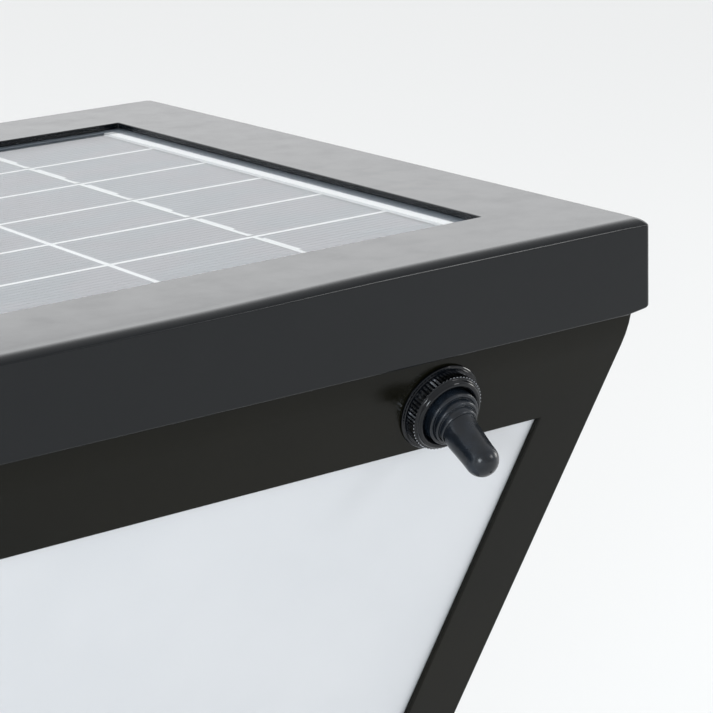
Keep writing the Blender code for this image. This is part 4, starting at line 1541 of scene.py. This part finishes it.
@dataclass
class Footing:
    """Floor plate, square neck, weld beads and the fixing flange."""

    finishes: Finishes
    flange_corner: float = 6 * MM
    flange_roll: float = 0.9 * MM
    fixing_place: float = 48 * MM
    fixing_radius: float = 3.25 * MM
    neck_wall: float = 2.5 * MM
    neck_corner: float = 5 * MM
    weld_bead: float = 1.3 * MM
    plate_corner: float = 1.6 * MM
    plate_roll: float = 0.5 * MM
    countersink: float = 0.9 * MM

    def slab(self, node: str, corner: float, roll: float) -> bmesh.types.BMesh:
        """Return a square slab with rolled edges that fills a node's box.

        Args:
            node: The CAD node's name.
            corner: Radius of the upright edges.
            roll: Radius of the rolled edges.

        Returns:
            The slab.
        """
        low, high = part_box(node)
        half = high.x
        rings = []
        for h, z in arc((half - roll, low.z + roll), roll, -90, 0, 4):
            rings.append(rounded_square(h, corner - (half - h), z))
        for h, z in arc((half - roll, high.z - roll), roll, 0, 90, 4):
            rings.append(rounded_square(h, corner - (half - h), z))
        return skin_rings(rings, False)

    def drill(self, piece: bpy.types.Object) -> None:
        """Cut the four fixing holes with a small countersink.

        Args:
            piece: The flange.
        """
        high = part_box("base_flange")[1].z
        radius = self.fixing_radius
        profile = [(radius, -high), (radius, high - 0.6 * MM),
                   (radius + self.countersink, high + 0.3 * MM)]
        for sx in (-1, 1):
            for sy in (-1, 1):
                shape = turned(profile, 40, False)
                shape.transform(Matrix.Translation((sx * self.fixing_place,
                                                    sy * self.fixing_place, 0)))
                cutter = link_mesh("cutter", shape, self.finishes.body)
                piece.modifiers.new("Hole", "BOOLEAN").object = cutter
                bake_modifiers(piece)
                bpy.data.objects.remove(cutter, do_unlink=True)

    def build(self) -> None:
        """Make the pieces below the lantern."""
        flange = link_mesh("fixing_flange", self.slab("base_flange", self.flange_corner,
                                                      self.flange_roll), self.finishes.body)
        self.drill(flange)
        plate = link_mesh("bottom_plate", self.slab("floor_plate", self.plate_corner,
                                                    self.plate_roll),
                          self.finishes.body)
        low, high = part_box("neck_tube")
        inner = high.x - self.neck_wall
        rings = [rounded_square(h, c, z) for h, c, z in (
            (high.x, self.neck_corner, low.z), (high.x, self.neck_corner, high.z),
            (inner, self.neck_corner / 2, high.z), (inner, self.neck_corner / 2, low.z))]
        neck = link_mesh("square_neck", skin_rings(rings, True), self.finishes.body)
        sweep = sweep_board()
        beads = [sweep.grow("bead", {"Width": high.x * 2, "Corner": self.neck_corner,
                                     "Bead": self.weld_bead, "Height": z,
                                     "Finish": self.finishes.body}) for z in (low.z, high.z)]
        join(neck, beads)
        for piece, node in ((flange, "base_flange"), (plate, "floor_plate"), (neck, "neck_tube")):
            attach(piece, "root")
            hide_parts(node)
        log.info("footing: flange, neck and bottom plate")


@dataclass
class Screws:
    """Pan-head screws with a cross recess: two in the cap, four in the tray."""

    finishes: Finishes
    head_radius: float = 3.3 * MM
    head_height: float = 2.1 * MM
    core_radius: float = 1.45 * MM
    length: float = 7.6 * MM
    thread_pitch: float = 0.8 * MM
    recess_width: float = 0.8 * MM

    def model(self) -> bpy.types.Object:
        """Make one screw, head up, with turned thread ridges.

        Returns:
            The screw.
        """
        profile: Profile = [(0.4 * MM, -self.length)]
        z = -self.length + 1.0 * MM
        while z < -0.8 * MM:
            profile += [(self.core_radius * 0.8, z), (self.core_radius, z + self.thread_pitch / 2)]
            z += self.thread_pitch
        profile += [(self.core_radius * 0.9, -0.1 * MM), (self.head_radius, 0.0)]
        profile += [(self.head_radius, 0.5 * MM)]
        profile += [(self.head_radius * math.cos(a), 0.5 * MM + (self.head_height - 0.5 * MM)
                     * math.sin(a)) for a in (math.radians(d) for d in (25, 45, 62, 76, 86))]
        screw = link_mesh("screw_model", turned(profile, 36, False), self.finishes.steel)
        for turn in (0.0, math.pi / 2):
            slot_cut = bmesh.new()
            bmesh.ops.create_cube(slot_cut, size=1.0)
            slot_cut.transform(Matrix.Rotation(turn, 4, "Z")
                               @ Matrix.Translation((0, 0, self.head_height))
                               @ Matrix.Diagonal((self.head_radius * 1.15, self.recess_width,
                                                  2.2 * MM, 1)))
            cutter = link_mesh("cutter", slot_cut, self.finishes.steel)
            screw.modifiers.new("Cut", "BOOLEAN").object = cutter
            bake_modifiers(screw)
            bpy.data.objects.remove(cutter, do_unlink=True)
        return screw

    def build(self) -> None:
        """Set a screw at each place, turned to face out of its hole."""
        model = self.model()
        board = studding_board()
        places: dict[str, tuple[Vector, Vector]] = {}
        for name, side in (("cap_screw_left", -1), ("cap_screw_right", 1)):
            low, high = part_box(name)
            centre = (low + high) / 2
            edge = low.x if side < 0 else high.x
            places[name] = (Vector((edge - side * self.head_height, centre.y, centre.z)),
                            Vector((side, 0, 0)))
        for index in range(1, 5):
            low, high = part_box(f"tray_screw_{index}")
            centre = (low + high) / 2
            places[f"tray_screw_{index}"] = (Vector((centre.x, centre.y, low.z + self.head_height)),
                                             Vector((0, 0, -1)))
        points = bpy.data.meshes.new("screw places")
        points.from_pydata([spot for spot, _ in places.values()], [], [])
        facing = points.attributes.new("facing", "FLOAT_VECTOR", "POINT")
        for index, (_, way) in enumerate(places.values()):
            facing.data[index].vector = way
        screws = board.grow("pan_head_screws", {"Model": model, "Finish": self.finishes.steel},
                            points)
        bpy.data.objects.remove(model, do_unlink=True)
        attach(screws, "root")
        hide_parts(*places)
        log.info("screws: %d", len(places))


# ------------------------------------------------------------------ stage

@dataclass
class Studio:
    """Pale floor, soft lights and the camera."""

    floor_half: float = 6.0
    floor_tone: Colour = (0.725, 0.725, 0.72)
    front_light: float = 0.75
    sky_light: float = 1.15
    back_light: float = 1.30
    lens: float = 124.87
    sensor: float = 36.0
    near_clip: float = 0.01
    yaw: float = 35.126
    pitch: float = 16.105
    roll: float = -2.066
    camera_side: float = -238.67 * MM
    camera_back: float = -473.56 * MM
    camera_over_cap: float = 116.70 * MM

    def build_floor(self) -> None:
        """Make the floor that the lamp stands on."""
        mesh_data = bmesh.new()
        bmesh.ops.create_grid(mesh_data, x_segments=2, y_segments=2, size=self.floor_half)
        bench = ShaderBench("studio floor")
        bench.set({"Base Color": self.floor_tone, "Roughness": 0.9, "Specular IOR Level": 0.0})
        floor = link_mesh("studio_floor", mesh_data, bench.material)

    def build_camera(self) -> None:
        """Set the camera, a little above the cap and to the left."""
        yaw, pitch, roll = (math.radians(a) for a in (self.yaw, self.pitch, self.roll))
        ahead = Vector((math.sin(yaw) * math.cos(pitch), math.cos(yaw) * math.cos(pitch),
                        -math.sin(pitch)))
        right = Vector((math.cos(yaw), -math.sin(yaw), 0))
        up = right.cross(ahead)
        right, up = (right * math.cos(roll) + up * math.sin(roll),
                     up * math.cos(roll) - right * math.sin(roll))
        data = bpy.data.cameras.new("camera")
        data.lens = self.lens
        data.sensor_width = self.sensor
        data.clip_start = self.near_clip
        camera = bpy.data.objects.new("camera", data)
        bpy.context.scene.collection.objects.link(camera)
        turn = Matrix((right, up, -ahead)).transposed().to_4x4()
        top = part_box("cap_frame")[1].z
        camera.matrix_world = Matrix.Translation((self.camera_side, self.camera_back,
                                                  top + self.camera_over_cap)) @ turn
        bpy.context.scene.camera = camera

    def area_light(self, name: str, place: Sequence[float], aim: Sequence[float], size: float,
                   power: float, colour: Colour = (1, 1, 1)) -> None:
        """Add a square soft light that points at a place.

        Args:
            name: The light's name.
            place: Where it stands.
            aim: The point that it faces.
            size: Width of the square.
            power: Power in watts.
            colour: Colour of the light.
        """
        data = bpy.data.lights.new(name, "AREA")
        data.shape = "SQUARE"
        data.size = size
        data.energy = power
        data.color = colour
        light = bpy.data.objects.new(name, data)
        bpy.context.scene.collection.objects.link(light)
        light.location = place
        light.rotation_euler = (Vector(aim) - Vector(place)).to_track_quat("-Z", "Y").to_euler()

    def build_world(self) -> None:
        """Make soft surroundings, brighter behind the lamp than in front."""
        world = bpy.data.worlds.new("studio")
        bpy.context.scene.world = world
        world.use_nodes = True
        nodes, links = world.node_tree.nodes, world.node_tree.links
        background = nodes["Background"]
        where = nodes.new("ShaderNodeTexCoord")
        split = nodes.new("ShaderNodeSeparateXYZ")
        links.new(where.outputs["Generated"], split.inputs[0])

        def ramp(axis: str, low: float, high: float, first: float, last: float) -> bpy.types.NodeSocket:
            """Return a soft ramp along one axis of the sky.

            Args:
                axis: The axis, X, Y or Z.
                low: Where the ramp starts.
                high: Where it ends.
                first: Value at the start.
                last: Value at the end.

            Returns:
                The ramp's value.
            """
            node = nodes.new("ShaderNodeMapRange")
            node.interpolation_type = "SMOOTHSTEP"
            for name, number in (("From Min", low), ("From Max", high), ("To Min", first),
                                 ("To Max", last)):
                node.inputs[name].default_value = number
            links.new(split.outputs[axis], node.inputs["Value"])
            return node.outputs["Result"]

        def combine(operation: str, first: bpy.types.NodeSocket,
                    second: bpy.types.NodeSocket) -> bpy.types.NodeSocket:
            """Return two values put together.

            Args:
                operation: The math node's operation.
                first: One value.
                second: The other value.

            Returns:
                The result.
            """
            node = nodes.new("ShaderNodeMath")
            node.operation = operation
            links.new(first, node.inputs[0])
            links.new(second, node.inputs[1])
            return node.outputs[0]

        rise = ramp("Z", 0.08, 0.38, 0.0, self.back_light)
        fall = ramp("Z", 0.50, 0.85, 1.0, 0.0)
        glow = combine("MULTIPLY", combine("MULTIPLY", rise, fall), ramp("Y", -0.1, 0.6, 0.0, 1.0))
        around = ramp("Y", -0.5, 0.5, self.front_light, self.sky_light)
        links.new(combine("ADD", glow, around), background.inputs["Strength"])
        background.inputs["Color"].default_value = (0.98, 0.99, 1.0, 1.0)

    def build(self) -> None:
        """Make the floor, camera, surroundings and lights."""
        self.build_floor()
        self.build_camera()
        self.build_world()
        middle = (0, 0, 0.15)
        self.area_light("key", (-1.44, -1.39, 0.62), middle, 0.52, 14, (0.88, 0.95, 1.0))
        self.area_light("left", (-1.58, 0.33, 0.68), middle, 0.9, 9.5, (0.80, 0.91, 1.0))
        self.area_light("right", (1.35, -0.25, 0.34), middle, 0.34, 2.6, (1.0, 0.99, 0.96))
        self.area_light("edge", (0.75, -0.95, 0.62), middle, 0.25, 1.6)
        bpy.context.scene.view_settings.view_transform = "Standard"
        bpy.context.scene.view_settings.look = "None"


# ------------------------------------------------------------------ assembly

def main() -> None:
    """Build every sub-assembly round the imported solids."""
    solids = PackedSolids(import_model()["nodes"])
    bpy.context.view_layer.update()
    studio = Studio()
    studio.build()
    finishes = Finishes()
    CapShell(finishes).build()
    SolarPanel(solids, finishes).build()
    body = LanternBody(solids, finishes)
    switch = ToggleSwitch(solids, finishes, body)
    body.build(switch.place())
    switch.build()
    GearTray(solids, finishes).build()
    Footing(finishes).build()
    Screws(finishes).build()


if __name__ == "__main__":
    logging.basicConfig(level=logging.INFO, format="%(name)s: %(message)s")
    main()
